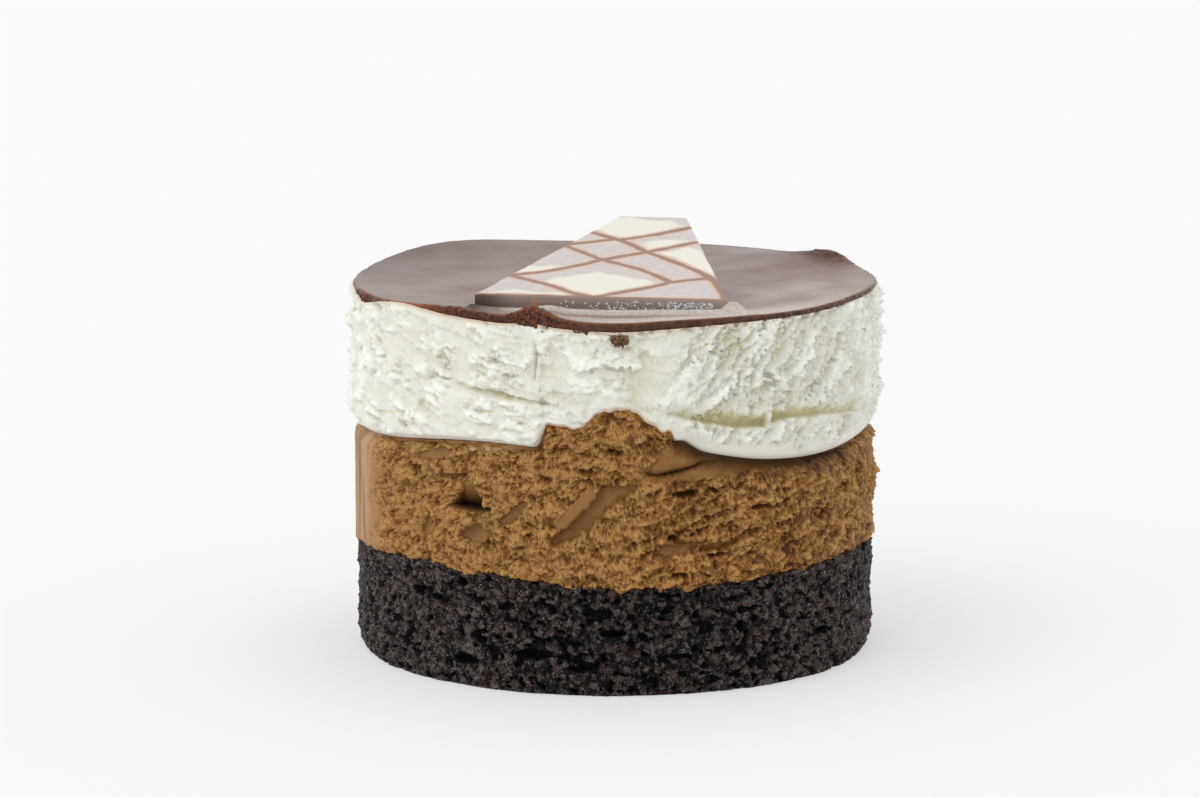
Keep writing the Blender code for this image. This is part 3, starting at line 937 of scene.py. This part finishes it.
away, along, above = route_distance(bearing, height, WHITE_CREASE)
taper = np.sin(np.pi * np.clip(along * 0.9 + 0.1, 0.0, 1.0)) ** 0.5
below = np.where(above < 0, rise(away, 1.5 - 0.9 * along, 0.0), rise(away, 0.14, 0.0))
creased = taper * below
rough -= 0.8 * (1.0 - 0.4 * along) * creased
away, along, above = route_distance(bearing, height, WHITE_TRENCH)
taper = np.clip(np.sin(np.pi * along), 0.0, 1.0) ** 0.45
wide = 2.3 + 0.7 * broken(wall, 2.4, 95, 3)
ragged = 0.45 + 0.3 * broken(wall, 1.2, 90, 3)
groove = np.where(above > 0, rise(away, wide, 0.0), rise(away, ragged, 0.0)) * taper
away, _, _ = route_distance(bearing, height, WHITE_STRAND)
strand = rise(away, 0.75 + 0.3 * broken(wall, 0.8, 79, 2), 0.2)
deep = 1.6 * (1.0 - 0.35 * rise(along, 0.42, 0.6))
rough = rough * (1.0 - 0.75 * groove) - deep * groove * (1.0 - 0.8 * strand)
away, along, _ = route_distance(bearing, height, WHITE_CRACK)
rough -= 0.6 * rise(away, 0.3, 0.05) * np.sin(np.pi * along) ** 0.5

radius = MOUSSE_RADIUS - (tuck(bearing) + 0.2 - 0.35 * tongue_here) * curl + rough
rings = with_caps(placed(bearing, radius, height), RIM_HEIGHT - 2.0, TIDE_HEIGHT)
blotches = rise(broken(wall, 1.2, 96, 3), 0.1, 0.4)
smudged = rise(top - height, 0.9, 0.1) * blotches * rise(bearing, -40.0, -20.0)
stained = rise(top - height, 0.55, 0.15) * humps(bearing, STAINED_RIM)
stained = np.maximum(stained, tongue_here * rise(height - low, 0.35, 0.1))
# Painted shade at step feet, away from the lower edge, with more along the trench's line and under the
# crease.
shaded_feet = shaded_feet * rise(height - low, 1.6, 2.6) * (1.0 - groove)
white = skin(
    "white_layer",
    rings,
    raised=capped(rise(rough, -1.8, 1.2)),
    torn=capped(over_lip),
    smudge=capped(smudged),
    stained=capped(stained),
    foot=capped(np.max([shaded_feet, 0.4 * groove**3, 0.8 * creased], axis=0)),
)

white_finish = Finish(
    "white mousse",
    {
        "IOR": 1.42,
        "Subsurface Weight": 0.4,
        "Subsurface Radius": (1.0, 0.9, 0.5),
        "Subsurface Scale": 1.2 * MM,
    },
)
raised = white_finish.painted("raised")
grain = white_finish.noise(0.45, 4.0)
# Colour by relief: olive in hollows as painted shade and near white on crests as painted highlight, with
# olive lines of painted shade, glaze stains and smudges.
tone = white_finish.layers(
    shade(202, 195, 152),
    (white_finish.between(raised, 0.12, 0.7), shade(232, 231, 221)),
    (white_finish.between(raised, 0.72, 0.97), shade(249, 249, 240)),
    (white_finish.painted("foot") * (0.4 + 0.8 * (grain - 0.5)), shade(190, 182, 136)),
    (white_finish.painted("stained") * 0.5, shade(190, 134, 78)),
    (white_finish.painted("smudge") * 0.6, shade(120, 98, 66)),
)
white_finish.dress(
    white,
    Base_Color=tone,
    Roughness=0.5,
    Normal=white_finish.bump(grain * white_finish.painted("torn"), 0.14),
)
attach(white, "root")
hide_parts("white_mousse")

# Chocolate glaze
# Dark glaze poured over the cold cake and cut with it. It lies dished on top, thin at the sides and thick
# and crumbly at the front, where the knife dragged it into a lump with a hair-thin spike. Cold frosted it
# lightly near the front, and a painted reflection lightens it there too. Other spots are darkened with
# painted shade and a painted darker reflection.
GLAZE_COLUMNS = 720
GLAZE_DISH = 0.7
GLAZE_OVERHANG = 0.2
GLAZE_LUMPS = ((-17.0, 4.5, 0.8), (121.0, 9.0, 0.4))
LUMP_DROPS = ((-12.0, 8.0, 0.7), (-71.0, 5.0, 0.7))
GLAZE_CRUST = ((-35.0, 9.0, 0.55), (-17.5, 6.0, 0.65))
TOP_SHARES = np.concatenate(
    [np.linspace(0.0, 0.72, 26), np.linspace(0.728, 0.944, 55), np.linspace(0.952, 0.992, 10)]
)
# Where the edge is crumbly, where the top is rolled up at it, where the paint is amber, where frost and a
# painted reflection lighten it, and where painted shade and a painted darker reflection darken it.
FAR_LUMP = ((121.0, 9.0, 1.0),)
ROLLED_FRONT = ((-17.3, 7.0, 1.0), (-35.0, 9.0, 1.0))
CRUMBLY_EDGE = ((-36.0, 9.0, 1.0), (-17.0, 9.0, 1.0), (-71.0, 6.0, 0.8), (121.0, 9.0, 0.6))
AMBER_EDGE = ((-52.0, 9.0, 1.0),)
FROST_AND_REFLECTION_RIM = ((20.0, 58.0, 1.0),)
# Where the top is darkened with a painted darker reflection.
DARKER_REFLECTION_LEFT = ((-118.0, 34.0, 0.4),)
DARKER_REFLECTION_RIGHT = ((132.0, 20.0, 0.4),)
# Spots on the top, as the place and half size of each in X and Y: a swell at the back, frost with a painted
# reflection on the right, and a wedge of painted shade and reflection at the plaque's left corner.
BACK_SWELL = (22.0, 22.0, 7.0, 5.0)
SWELL_HEIGHT = 0.55
FROST_AND_REFLECTION_PATCH = (24.0, -9.0, 10.0, 9.0)
SHADED_WEDGE = (-18.6, -26.6, 1.8, 1.5)
# The mound that the plaque lies on, and the ridge of glaze along its foot with a small mound at its end.
MOUND = (2.0, -6.0, 7.5, 7.5)
MOUND_HEIGHT = 3.4
FOOT_RIDGE = ((-18.6, -26.6), (15.2, -28.9))
RIDGE_HEIGHT = 0.65
RIDGE_WIDTH = 0.8
CORNER_SIZE = (1.8, 1.0)
CORNER_HEIGHT = 1.7

bearing_glaze = bearings(GLAZE_COLUMNS, 0.35)


def glaze_top(share, bearing):
    """Height of the glaze: a shallow dish that takes the rim's lifts as the fourth power of the radius."""
    dished = RIM_HEIGHT - GLAZE_DISH * (1.0 - share**2)
    return dished + (rim_line(bearing) - RIM_HEIGHT) * share**4


def spot_on_top(points, spot):
    """A bell-shaped spot, exp(-a^2 - b^2), a and b being the distances in X and Y over its half sizes."""
    x, y, half_x, half_y = spot
    return np.exp(-(((points[..., 0] - x) / half_x) ** 2) - ((points[..., 1] - y) / half_y) ** 2)


def over_glaze(on_lid, on_edge, under_it):
    """Numbers on the glaze's lid, cut edge and underside, as one grid."""
    parts = zip((on_lid, on_edge, under_it), (lid, edge, under))
    return np.concatenate([value * np.ones(part.shape[:2]) for value, part in parts])


share = TOP_SHARES[:, None]
flat_place = placed(bearing_glaze, CAKE_RADIUS * share, 0.0)
ripple = 0.12 * broken(flat_place, 22.0, 101, 1) + 0.006 * broken(flat_place, 4.0, 103, 2)
swells = ripple + MOUND_HEIGHT * spot_on_top(flat_place, MOUND)
swells += SWELL_HEIGHT * spot_on_top(flat_place, BACK_SWELL)
(start_x, start_y), (end_x, end_y) = FOOT_RIDGE
along = np.clip((flat_place[..., 0] - start_x) / (end_x - start_x), 0.0, 1.0)
foot_away = np.hypot(
    flat_place[..., 0] - start_x - (end_x - start_x) * along,
    flat_place[..., 1] - start_y - (end_y - start_y) * along,
)
at_ends = np.exp(-((along / 0.05) ** 2)) + np.exp(-(((1.0 - along) / 0.05) ** 2))
ridge = (RIDGE_HEIGHT + 0.25 * at_ends) * np.exp(-((foot_away / RIDGE_WIDTH) ** 2))
ridge = np.maximum(ridge, CORNER_HEIGHT * spot_on_top(flat_place, (end_x, end_y, *CORNER_SIZE)))
far_lump = humps(bearing_glaze, FAR_LUMP)
crusty = 0.4 * broken(flat_place, 1.3, 108, 3) * rise(share, 0.88, 0.98) * far_lump
crust = humps(bearing_glaze, GLAZE_CRUST) * (1.0 + frayed(bearing_glaze, 1.1, 0.35, 110))
height = glaze_top(share, bearing_glaze) + swells * rise(share, 1.0, 0.9) + ridge + crusty
at_rim = rise(share, 0.93, 0.985)
height += crust * at_rim
lid = placed(bearing_glaze, (CAKE_RADIUS + GLAZE_OVERHANG - 0.25) * share, height)

edge_turn = np.linspace(0.0, np.pi, 13)[:, None]
rim = glaze_top(1.0, bearing_glaze) + crust
edge_thick = glaze_edge(bearing_glaze) + crust + humps(bearing_glaze, LUMP_DROPS)
edge_thick = edge_thick + frayed(bearing_glaze, 2.2, 0.16, 105) * rise(edge_thick, 0.2, 0.8)
small_drips = rise(frayed(bearing_glaze, 0.9, 1.0, 114), 0.35, 0.7)
edge_thick = edge_thick + 0.3 * small_drips * rise(edge_thick, 0.4, 0.8)
wavy = frayed(bearing_glaze, 1.6, 0.12, 107) + humps(bearing_glaze, GLAZE_LUMPS)
edge_radius = CAKE_RADIUS + GLAZE_OVERHANG + wavy - 0.3 + 0.3 * np.sin(edge_turn)
edge_height = rim - edge_thick * 0.5 * (1.0 - np.cos(edge_turn))
granular = humps(bearing_glaze, CRUMBLY_EDGE)
bumpy = broken(placed(bearing_glaze, edge_radius, edge_height), 0.6, 109, 3, 0.7)
bumpy *= (0.07 + 0.24 * granular) * np.sin(edge_turn)
edge = placed(bearing_glaze, edge_radius + bumpy, edge_height)
under = shrunk(edge[-1], RIM_HEIGHT - 2.0, (0.97, 0.5, 0.0))
rings = np.concatenate([lid, edge, under])
cut_side = over_glaze(0.0, rise(np.sin(edge_turn), 0.05, 0.5), 1.0)
rolled = at_rim * humps(bearing_glaze, ROLLED_FRONT) + rise(share, 0.86, 0.94) * far_lump
# Frost and painted reflection: the top lightens near the front rim, in a strip before the plaque and in a
# patch on the right.
frosted = rise(share + 0.03 * broken(flat_place, 6.0, 104, 3), 0.78, 0.94)
frosted = frosted * humps(bearing_glaze, FROST_AND_REFLECTION_RIM)
reflection_in_front = np.exp(-((foot_away / 1.6) ** 2)) * rise(along, 0.02, 0.2) * rise(along, 1.0, 0.93)
patch = spot_on_top(flat_place, FROST_AND_REFLECTION_PATCH) + 0.5 * broken(flat_place, 7.0, 116, 3)
patch = rise(patch, 0.0, 1.4)
frosted = np.max([frosted, 1.2 * reflection_in_front, 0.6 * patch], axis=0) * (1.0 - 0.7 * rolled)
amber_line = np.exp(-(((edge_turn - 0.45) / 0.25) ** 2))
amber_line = amber_line * (0.6 + 0.5 * frayed(bearing_glaze, 3.0, 1.0, 106))
amber_line = np.maximum(amber_line, humps(bearing_glaze, AMBER_EDGE) * rise(edge_turn, 0.2, 0.6))
reach = np.hypot(rings[..., 0], rings[..., 1]) / CAKE_RADIUS
# Painted darker reflection on the top, at the back left and the back right.
darker_reflection = humps(bearing_glaze, DARKER_REFLECTION_LEFT) * rise(reach, 0.5, 0.9)
darker_reflection = darker_reflection + humps(bearing_glaze, DARKER_REFLECTION_RIGHT) * rise(reach, 0.6, 0.9)
glaze = skin(
    "glaze",
    rings,
    edge=cut_side,
    rolled=over_glaze(rolled, granular, granular),
    frosted=over_glaze(frosted, 0.0, 0.0),
    amber=over_glaze(0.0, amber_line, 0.0),
    dark=np.maximum(spot_on_top(rings, SHADED_WEDGE), darker_reflection),
)

glaze_finish = Finish("dark glaze", {"IOR": 1.42})
edge_wire = glaze_finish.painted("edge")
rolled_wire = glaze_finish.painted("rolled")
dull = glaze_finish.noise(9.0, 3.0)
grit = glaze_finish.noise(0.8, 5.0)
edge_grit = glaze_finish.between(grit, 0.36, 0.72)
smooth_edge = glaze_finish.blend(edge_grit, shade(58, 30, 16), shade(92, 52, 30))
grains = glaze_finish.between(glaze_finish.noise(0.35, 4.0), 0.4, 0.64)
crusty_edge = glaze_finish.blend(grains, shade(28, 13, 8), shade(120, 62, 32))
edge_tone = glaze_finish.layers(
    smooth_edge,
    (rolled_wire, crusty_edge),
    (glaze_finish.painted("amber") * 0.7, shade(176, 100, 44)),
)
# Frost and painted reflection lighten the top's colour. Painted shade and darker reflection darken it.
frost_reflection_wire = glaze_finish.painted("frosted") * (0.4 + glaze_finish.noise(0.5, 5.0))
top_tone = glaze_finish.layers(
    shade(98, 60, 44),
    (rolled_wire, crusty_edge),
    (frost_reflection_wire * 0.8, shade(218, 210, 202)),
    (glaze_finish.painted("dark") * 0.9, shade(48, 36, 32)),
)
gloss_loss = 0.1 * glaze_finish.between(dull, 0.3, 0.75) + 0.25 * rolled_wire + 0.35 * frost_reflection_wire
glaze_finish.dress(
    glaze,
    Base_Color=glaze_finish.blend(edge_wire, top_tone, edge_tone),
    Roughness=0.3 + gloss_loss,
    Normal=glaze_finish.bump(grit * (0.5 * edge_wire + 1.0 * rolled_wire), 0.4),
)
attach(glaze, "root")
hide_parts("chocolate_glaze")

# The spike is a thread of glaze that the knife pulled up: rings about a line that leans back as it rises,
# whose radius falls as (1 - t) to the power 0.8.
SPIKE_BEARING = -17.3
SPIKE_HEIGHT = 1.7
SPIKE_LEAN = (0.12, 0.35)
SPIKE_SINK = 0.5
SPIKE_RINGS = 14
SPIKE_SIDES = 12
t = np.linspace(0.0, 1.0, SPIKE_RINGS)[:, None]
turn = np.linspace(0.0, 2.0 * np.pi, SPIKE_SIDES, endpoint=False)
thick = 0.42 * (1.0 - t) ** 0.8 + 0.12
foot = placed(SPIKE_BEARING, CAKE_RADIUS - 0.1, glaze_top(1.0, SPIKE_BEARING) - SPIKE_SINK)
sway = np.array((0.1, 0.0, 0.0)) * np.sin(5.0 * t)[..., None]
lean = np.array((*SPIKE_LEAN, SPIKE_HEIGHT + SPIKE_SINK)) * t[..., None] + sway
loops = np.stack([thick * np.cos(turn), thick * np.sin(turn), 0.0 * t * turn], axis=-1)
stem = foot + lean + loops * (1.0 + 0.3 * lumps(foot + lean + loops, 0.5, 113))[..., None]
base = stem[:1].mean(axis=1, keepdims=True) * np.ones((1, SPIKE_SIDES, 1))
stem = np.concatenate([base, stem, stem[-1:] + (0.0, 0.0, 0.05)])
spike = skin("glaze_spike", stem)
spike_finish = Finish("pulled glaze", {"IOR": 1.5, "Roughness": 0.3})
spike_tone = spike_finish.blend(spike_finish.noise(0.4, 2.0), shade(120, 66, 30), shade(176, 110, 56))
spike_finish.dress(spike, Base_Color=spike_tone)
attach(spike, "root")

# Cake crumb
# A crumb of the dark sponge that the knife carried up and left stuck on the white mousse, under the glaze.
CRUMB_BEARING = 1.0
CRUMB_HEIGHT = 47.1
CRUMB_HALF_AXES = (1.05, 0.6, 0.6)


def ball(centre, half_axes, rows, columns):
    """An ellipsoid's rings: centre + half axes times (sin p cos a, sin p sin a, cos p)."""
    polar = np.linspace(0.0, np.pi, rows)[:, None]
    angle = np.linspace(0.0, 2.0 * np.pi, columns, endpoint=False)
    flat = np.sin(polar)
    unit = np.stack([flat * np.cos(angle), flat * np.sin(angle), np.cos(polar + 0.0 * angle)], -1)
    return np.array(centre) + unit * np.array(half_axes), unit


spot = placed(CRUMB_BEARING, MOUSSE_RADIUS + 0.35, CRUMB_HEIGHT)
rings, outward = ball(spot, CRUMB_HALF_AXES, 34, 48)
knobs = billows(rings, 0.55, 117, 3, 0.8) - 0.4
rings = rings + outward * 0.5 * knobs[..., None]
loose_crumb = skin("cake_crumb", rings, raised=rise(knobs, -0.2, 0.4))
loose_finish = Finish("loose crumb", {"Roughness": 0.6})
# Darker between the knobs and lighter on them, with grain.
loose_tone = loose_finish.painted("raised") * 0.8 + 3.0 * (loose_finish.noise(0.35, 3.0) - 0.5)
loose_tone = loose_finish.blend(loose_tone, shade(14, 8, 5), shade(128, 92, 58))
loose_finish.dress(loose_crumb, Base_Color=loose_tone)
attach(loose_crumb, "root")

# Chocolate plaque
# A plate of dark chocolate, two millimetres thick, set on a printed sheet: its top carries ivory and grey
# marbling between thin crossing lines of milk chocolate. Cold drops stand on its front edge.
PLAQUE_HALF_BASE = 16.4
PLAQUE_TIP_LEFT = -0.2
PLAQUE_TIP_RIGHT = 8.8
PLAQUE_LENGTH = 39.0
PLAQUE_THICKNESS = 2.3
PLAQUE_FOOT = (-1.75, -27.4, 49.15)
PLAQUE_TILT = 7.6
PLAQUE_ROLL = 0.9
PLAQUE_TURN = -4.0
PLAQUE_COLUMNS = 560
PLAQUE_RINGS = 100
PLAQUE_EDGE_RADIUS = 0.25


def turned(tilt, roll, turn):
    """The matrix that turns about X, then Y, then Z by angles in degrees."""
    (cx, cy, cz), (sx, sy, sz) = [f(np.radians([tilt, roll, turn])) for f in (np.cos, np.sin)]
    about_x = np.array([[1, 0, 0], [0, cx, -sx], [0, sx, cx]])
    about_y = np.array([[cy, 0, sy], [0, 1, 0], [-sy, 0, cy]])
    about_z = np.array([[cz, -sz, 0], [sz, cz, 0], [0, 0, 1]])
    return about_z @ about_y @ about_x


PLAQUE_MATRIX = turned(PLAQUE_TILT, PLAQUE_ROLL, PLAQUE_TURN)


def on_plaque(across, along, up):
    """Points in the plaque's own axes (x along its foot, y up its slope), brought to the cake."""
    return np.stack(np.broadcast_arrays(across, along, up), -1) @ PLAQUE_MATRIX.T + np.array(PLAQUE_FOOT)


corners = np.array(
    [
        (-PLAQUE_HALF_BASE, 0.0),
        (PLAQUE_HALF_BASE, 0.0),
        (PLAQUE_TIP_RIGHT, PLAQUE_LENGTH),
        (PLAQUE_TIP_LEFT, PLAQUE_LENGTH),
    ]
)
sides = np.roll(corners, -1, axis=0) - corners
lengths = np.linalg.norm(sides, axis=1)
runs = np.concatenate([[0.0], np.cumsum(lengths)])
walk = np.linspace(0.0, runs[-1], PLAQUE_COLUMNS, endpoint=False)
closed = np.concatenate([corners, corners[:1]])
outline = np.stack([np.interp(walk, runs, closed[:, k]) for k in (0, 1)], axis=-1)
waver = np.concatenate([outline, np.zeros((PLAQUE_COLUMNS, 1))], axis=1)
outline = outline + 0.12 * np.stack([broken(waver, 3.0, 111, 3), broken(waver, 3.0, 115, 3)], axis=-1)
middle = corners.mean(axis=0)
inward = middle - outline
inward /= np.linalg.norm(inward, axis=1, keepdims=True)

share = np.linspace(0.0, 1.0, PLAQUE_RINGS)[:, None, None]
inset = outline + inward * PLAQUE_EDGE_RADIUS
top_rings = middle + (inset - middle) * share
turn = np.linspace(0.0, 0.5 * np.pi, 5)[1:, None, None]
bevel = inset - inward * PLAQUE_EDGE_RADIUS * np.sin(turn)
side_rings = np.repeat(outline[None], 8, axis=0)
under_rings = middle + (outline - middle) * np.array([0.98, 0.5, 0.0])[:, None, None]
flat = np.concatenate([top_rings, bevel, side_rings, under_rings])
drop = np.concatenate(
    [
        np.zeros(PLAQUE_RINGS),
        PLAQUE_EDGE_RADIUS * (1.0 - np.cos(turn[:, 0, 0])),
        np.linspace(PLAQUE_EDGE_RADIUS * 1.4, PLAQUE_THICKNESS, 8),
        [PLAQUE_THICKNESS] * 3,
    ]
)[:, None]
rings = on_plaque(flat[..., 0], flat[..., 1], PLAQUE_THICKNESS - drop)

# The brown lines, each through a few points in the plaque's own axes.
LATTICE = (
    ((-3.9, 30.7), (1.4, 25.9), (4.5, 21.5), (8.4, 17.1), (13.5, 10.1), (16.3, 0.3)),
    ((-7.1, 24.2), (-3.0, 19.4), (-1.1, 17.2), (3.9, 13.4), (8.5, 7.8)),
    ((-13.7, 9.6), (-7.2, 4.9), (-4.1, 1.8), (-1.0, 0.0)),
    ((-1.0, 0.0), (2.4, 2.4), (6.7, 5.7), (8.9, 7.8), (13.5, 10.1)),
    ((-14.0, 8.4), (-7.8, 11.4), (-3.3, 15.1), (-1.1, 17.4), (4.5, 21.5), (10.6, 26.8)),
    ((-6.9, 23.8), (-1.1, 26.8), (1.3, 27.6), (5.1, 30.1), (9.4, 33.8)),
)
LINE_HALF_WIDTH = 0.55
EDGE_LINE = ((-15.8, 0.15), (0.0, 0.15), (15.8, 0.15), (14.6, 7.0))
# Where the marbling is ivory: the corners of each patch, anticlockwise, in the plaque's own axes.
IVORY_PATCHES = (
    ((-8.6, 5.9), (-1.0, 1.0), (7.4, 6.4), (4.6, 8.8), (-1.0, 11.2), (-5.2, 9.4)),
    ((-13.4, 9.3), (-8.2, 11.7), (-6.6, 13.6), (-11.2, 13.4)),
    ((-4.2, 31.6), (1.2, 27.9), (8.6, 34.2), (7.0, 37.4), (-0.6, 38.2)),
    ((1.8, 27.4), (5.4, 23.0), (11.2, 27.8), (10.4, 31.2), (8.6, 29.6), (4.8, 27.6)),
    ((6.4, 21.4), (14.2, 11.4), (14.0, 15.4), (11.9, 22.0), (10.2, 24.6)),
    ((-15.0, 0.7), (-3.2, 0.7), (-5.4, 1.7), (-13.6, 2.0)),
)


def bent_line(points, count=60):
    """A smooth curve through a few points: cubic pieces whose ends share the slope of their neighbours."""
    points = np.array(points)
    slopes = np.gradient(points, axis=0)
    t = np.linspace(0.0, len(points) - 1.0, count)
    k = np.minimum(t.astype(int), len(points) - 2)
    u = (t - k)[:, None]
    a, b, da, db = points[k], points[k + 1], slopes[k], slopes[k + 1]
    return (
        a * (1 - 3 * u**2 + 2 * u**3)
        + b * (3 * u**2 - 2 * u**3)
        + da * (u - 2 * u**2 + u**3)
        + db * (u**3 - u**2)
    )


def line_distance(flat, line):
    """Distance from each point to a bent line, the nearest of its short straight runs."""
    nearest = np.full(flat.shape[:-1], 1e3)
    for start, end in zip(line[:-1], line[1:]):
        way = end - start
        t = np.clip(((flat - start) @ way) / (way @ way), 0.0, 1.0)
        nearest = np.minimum(nearest, np.linalg.norm(flat - start - t[..., None] * way, axis=-1))
    return nearest


spots = np.concatenate([flat, np.zeros(flat.shape[:-1] + (1,))], axis=-1)
away = np.min([line_distance(flat, bent_line(line)) for line in LATTICE], axis=0)
along_edge = line_distance(flat, np.array(EDGE_LINE)) + 0.25
away = np.minimum(away, along_edge)
width = LINE_HALF_WIDTH * (1.0 + 0.3 * broken(spots, 2.5, 121, 3))
line_mask = rise(away, width * 1.2, width * 0.75)
fringe = rise(away, width * 2.4, width * 1.1) * (1.0 - line_mask)
ivory_mask = np.zeros_like(away)
bent = warped(spots, 0.9, 3.0, 123)[..., :2]
for patch in IVORY_PATCHES:
    within = np.full(away.shape, 1e3)
    for start, end in zip(patch, patch[1:] + patch[:1]):
        way = np.array(end) - start
        across = (way[0] * (bent[..., 1] - start[1]) - way[1] * (bent[..., 0] - start[0])) / np.hypot(*way)
        within = np.minimum(within, across)
    ivory_mask = np.maximum(ivory_mask, rise(within, -0.6, 0.5))
dark_side = rise(drop + 0.0 * away, 0.02, 0.1)
# Painted shade on the front face: darker towards its bottom and at its ends.
side_shade_low = rise(drop + 0.0 * away, 0.5, 1.3)
shaded_end = rise(-flat[..., 0], 10.5, 15.8)
plaque = skin(
    "plaque",
    rings,
    line=line_mask,
    fringe=fringe,
    ivory=ivory_mask,
    side=dark_side,
    low=side_shade_low,
    end=shaded_end,
)

plaque_finish = Finish("marbled chocolate", {"IOR": 1.46})
cloud = plaque_finish.noise(1.2, 3.0)
grey = plaque_finish.blend(cloud, shade(182, 172, 170), shade(212, 203, 200))
face_tone = plaque_finish.layers(
    grey,
    (plaque_finish.painted("ivory"), shade(226, 223, 210)),
    (plaque_finish.painted("fringe") * 0.75, shade(214, 168, 124)),
    (plaque_finish.painted("line"), shade(142, 104, 86)),
)
# The front face's colour, darkened by painted shade towards its bottom and at its ends.
side_tone = plaque_finish.layers(
    shade(152, 137, 129),
    (plaque_finish.painted("low"), shade(126, 114, 106)),
    (plaque_finish.painted("end") * 0.8, shade(62, 50, 45)),
)
side_wire = plaque_finish.painted("side")
plaque_finish.dress(
    plaque,
    Base_Color=plaque_finish.blend(side_wire, face_tone, side_tone),
    Roughness=0.45 - 0.15 * side_wire,
    Normal=plaque_finish.bump(cloud + side_wire * plaque_finish.noise(0.2, 2.0), 0.05),
)
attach(plaque, "root")
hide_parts("chocolate_plaque")

# Cold drops
# Fine drops of water stand on the plaque's front edge, most of them towards its right end. Each is a low
# dome: rings of radius r sin p at a height r cos p over the edge.
DROP_COUNT = 420
DROP_SIZES = (0.06, 0.18)
DROP_SIDES = 7
DROP_HEIGHT = 0.75
chance = np.random.default_rng(19)
drop_across = -12.0 + 26.5 * chance.random(DROP_COUNT) ** 0.3
drop_up = 0.25 + 1.6 * chance.random(DROP_COUNT)
drop_radius = DROP_SIZES[0] + (DROP_SIZES[1] - DROP_SIZES[0]) * chance.random(DROP_COUNT) ** 2
polar = np.array([0.0, 0.5, 1.0, 1.57])[:, None]
angle = np.linspace(0.0, 2.0 * np.pi, DROP_SIDES, endpoint=False)
flat = np.sin(polar)
outward = -DROP_HEIGHT * np.cos(polar + 0.0 * angle)
dome = np.stack([flat * np.cos(angle), outward, flat * np.sin(angle)], -1)
dome = np.concatenate([dome[0, :1], dome[1:].reshape(-1, 3), [(0.0, 0.25, 0.0)]])
here = np.arange(DROP_SIDES)
after = (here + 1) % DROP_SIDES
start = 1 + DROP_SIDES * np.arange(2)[:, None]
lower = start + DROP_SIDES
side_faces = np.stack([start + here, start + after, lower + after, lower + here], -1).reshape(-1, 4)
last = len(dome) - 1
foot_ring = last - DROP_SIDES
top_faces = np.stack([0 * here, 1 + after, 1 + here], -1)
foot_faces = np.stack([0 * here + last, foot_ring + here, foot_ring + after], -1)
middles = np.stack([drop_across, 0.0 * drop_across, drop_up], axis=-1)
domes = middles[:, None] + dome * drop_radius[:, None, None]
points = on_plaque(domes[..., 0], domes[..., 1], domes[..., 2]).reshape(-1, 3)
step = len(dome) * np.arange(DROP_COUNT)[:, None, None]
quads = (side_faces + step).reshape(-1, 4)
triangles = (np.concatenate([top_faces, foot_faces]) + step).reshape(-1, 3)
drops = joined("cold_drops", points, quads.tolist() + triangles.tolist())
drop_finish = Finish("cold drops", {"Base Color": shade(205, 208, 212), "Roughness": 0.08, "IOR": 1.33})
drop_finish.dress(drops)
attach(drops, "root")

# Floor and light
# A pale floor that runs on past the picture, even light from all round that is strongest behind, and a
# broad soft lamp on the left in front.
FLOOR_HALF = 6000.0
floor_corners = FLOOR_HALF * np.array([(-1, -1, 0), (1, -1, 0), (1, 1, 0), (-1, 1, 0)])
floor = joined("floor", floor_corners, [(0, 1, 2, 3)])
floor_finish = Finish(
    "pale floor",
    {
        "Base Color": (0.5, 0.5, 0.5, 1.0),
        "Roughness": 0.8,
        "Specular IOR Level": 0.0,
        "Emission Color": (1.0, 1.0, 1.0, 1.0),
        "Emission Strength": 0.4,
    },
)
floor_finish.dress(floor)

SKY_AIM = (0.1, 0.65, 0.35)
SKY_DIM = 0.62
SKY_BRIGHT = 1.14
sky = Finish("studio", {"Color": (1.0, 1.0, 1.0, 1.0)}, bpy.data.worlds.new("studio"), "Background")
bpy.context.scene.world = sky.material
direction = sky.node("TexCoord", {}, {}, "Generated")
facing = sky.node("VectorMath", {"operation": "DOT_PRODUCT"}, (direction, SKY_AIM), "Value")
strength = sky.node("MapRange", {}, {"Value": facing, 1: -0.75, 2: 0.75, 3: SKY_DIM, 4: SKY_BRIGHT})
sky.feed(sky.shader, {"Strength": strength})

LAMP_PLACE = (-0.7, -0.55, 0.8)
lamp = bpy.data.lights.new("soft lamp", "SUN")
lamp.angle = math.radians(55.0)
lamp.energy = 0.7
holder = bpy.data.objects.new("soft lamp", lamp)
holder.rotation_euler = mathutils.Vector(LAMP_PLACE).to_track_quat("Z", "Y").to_euler()
bpy.context.scene.collection.objects.link(holder)
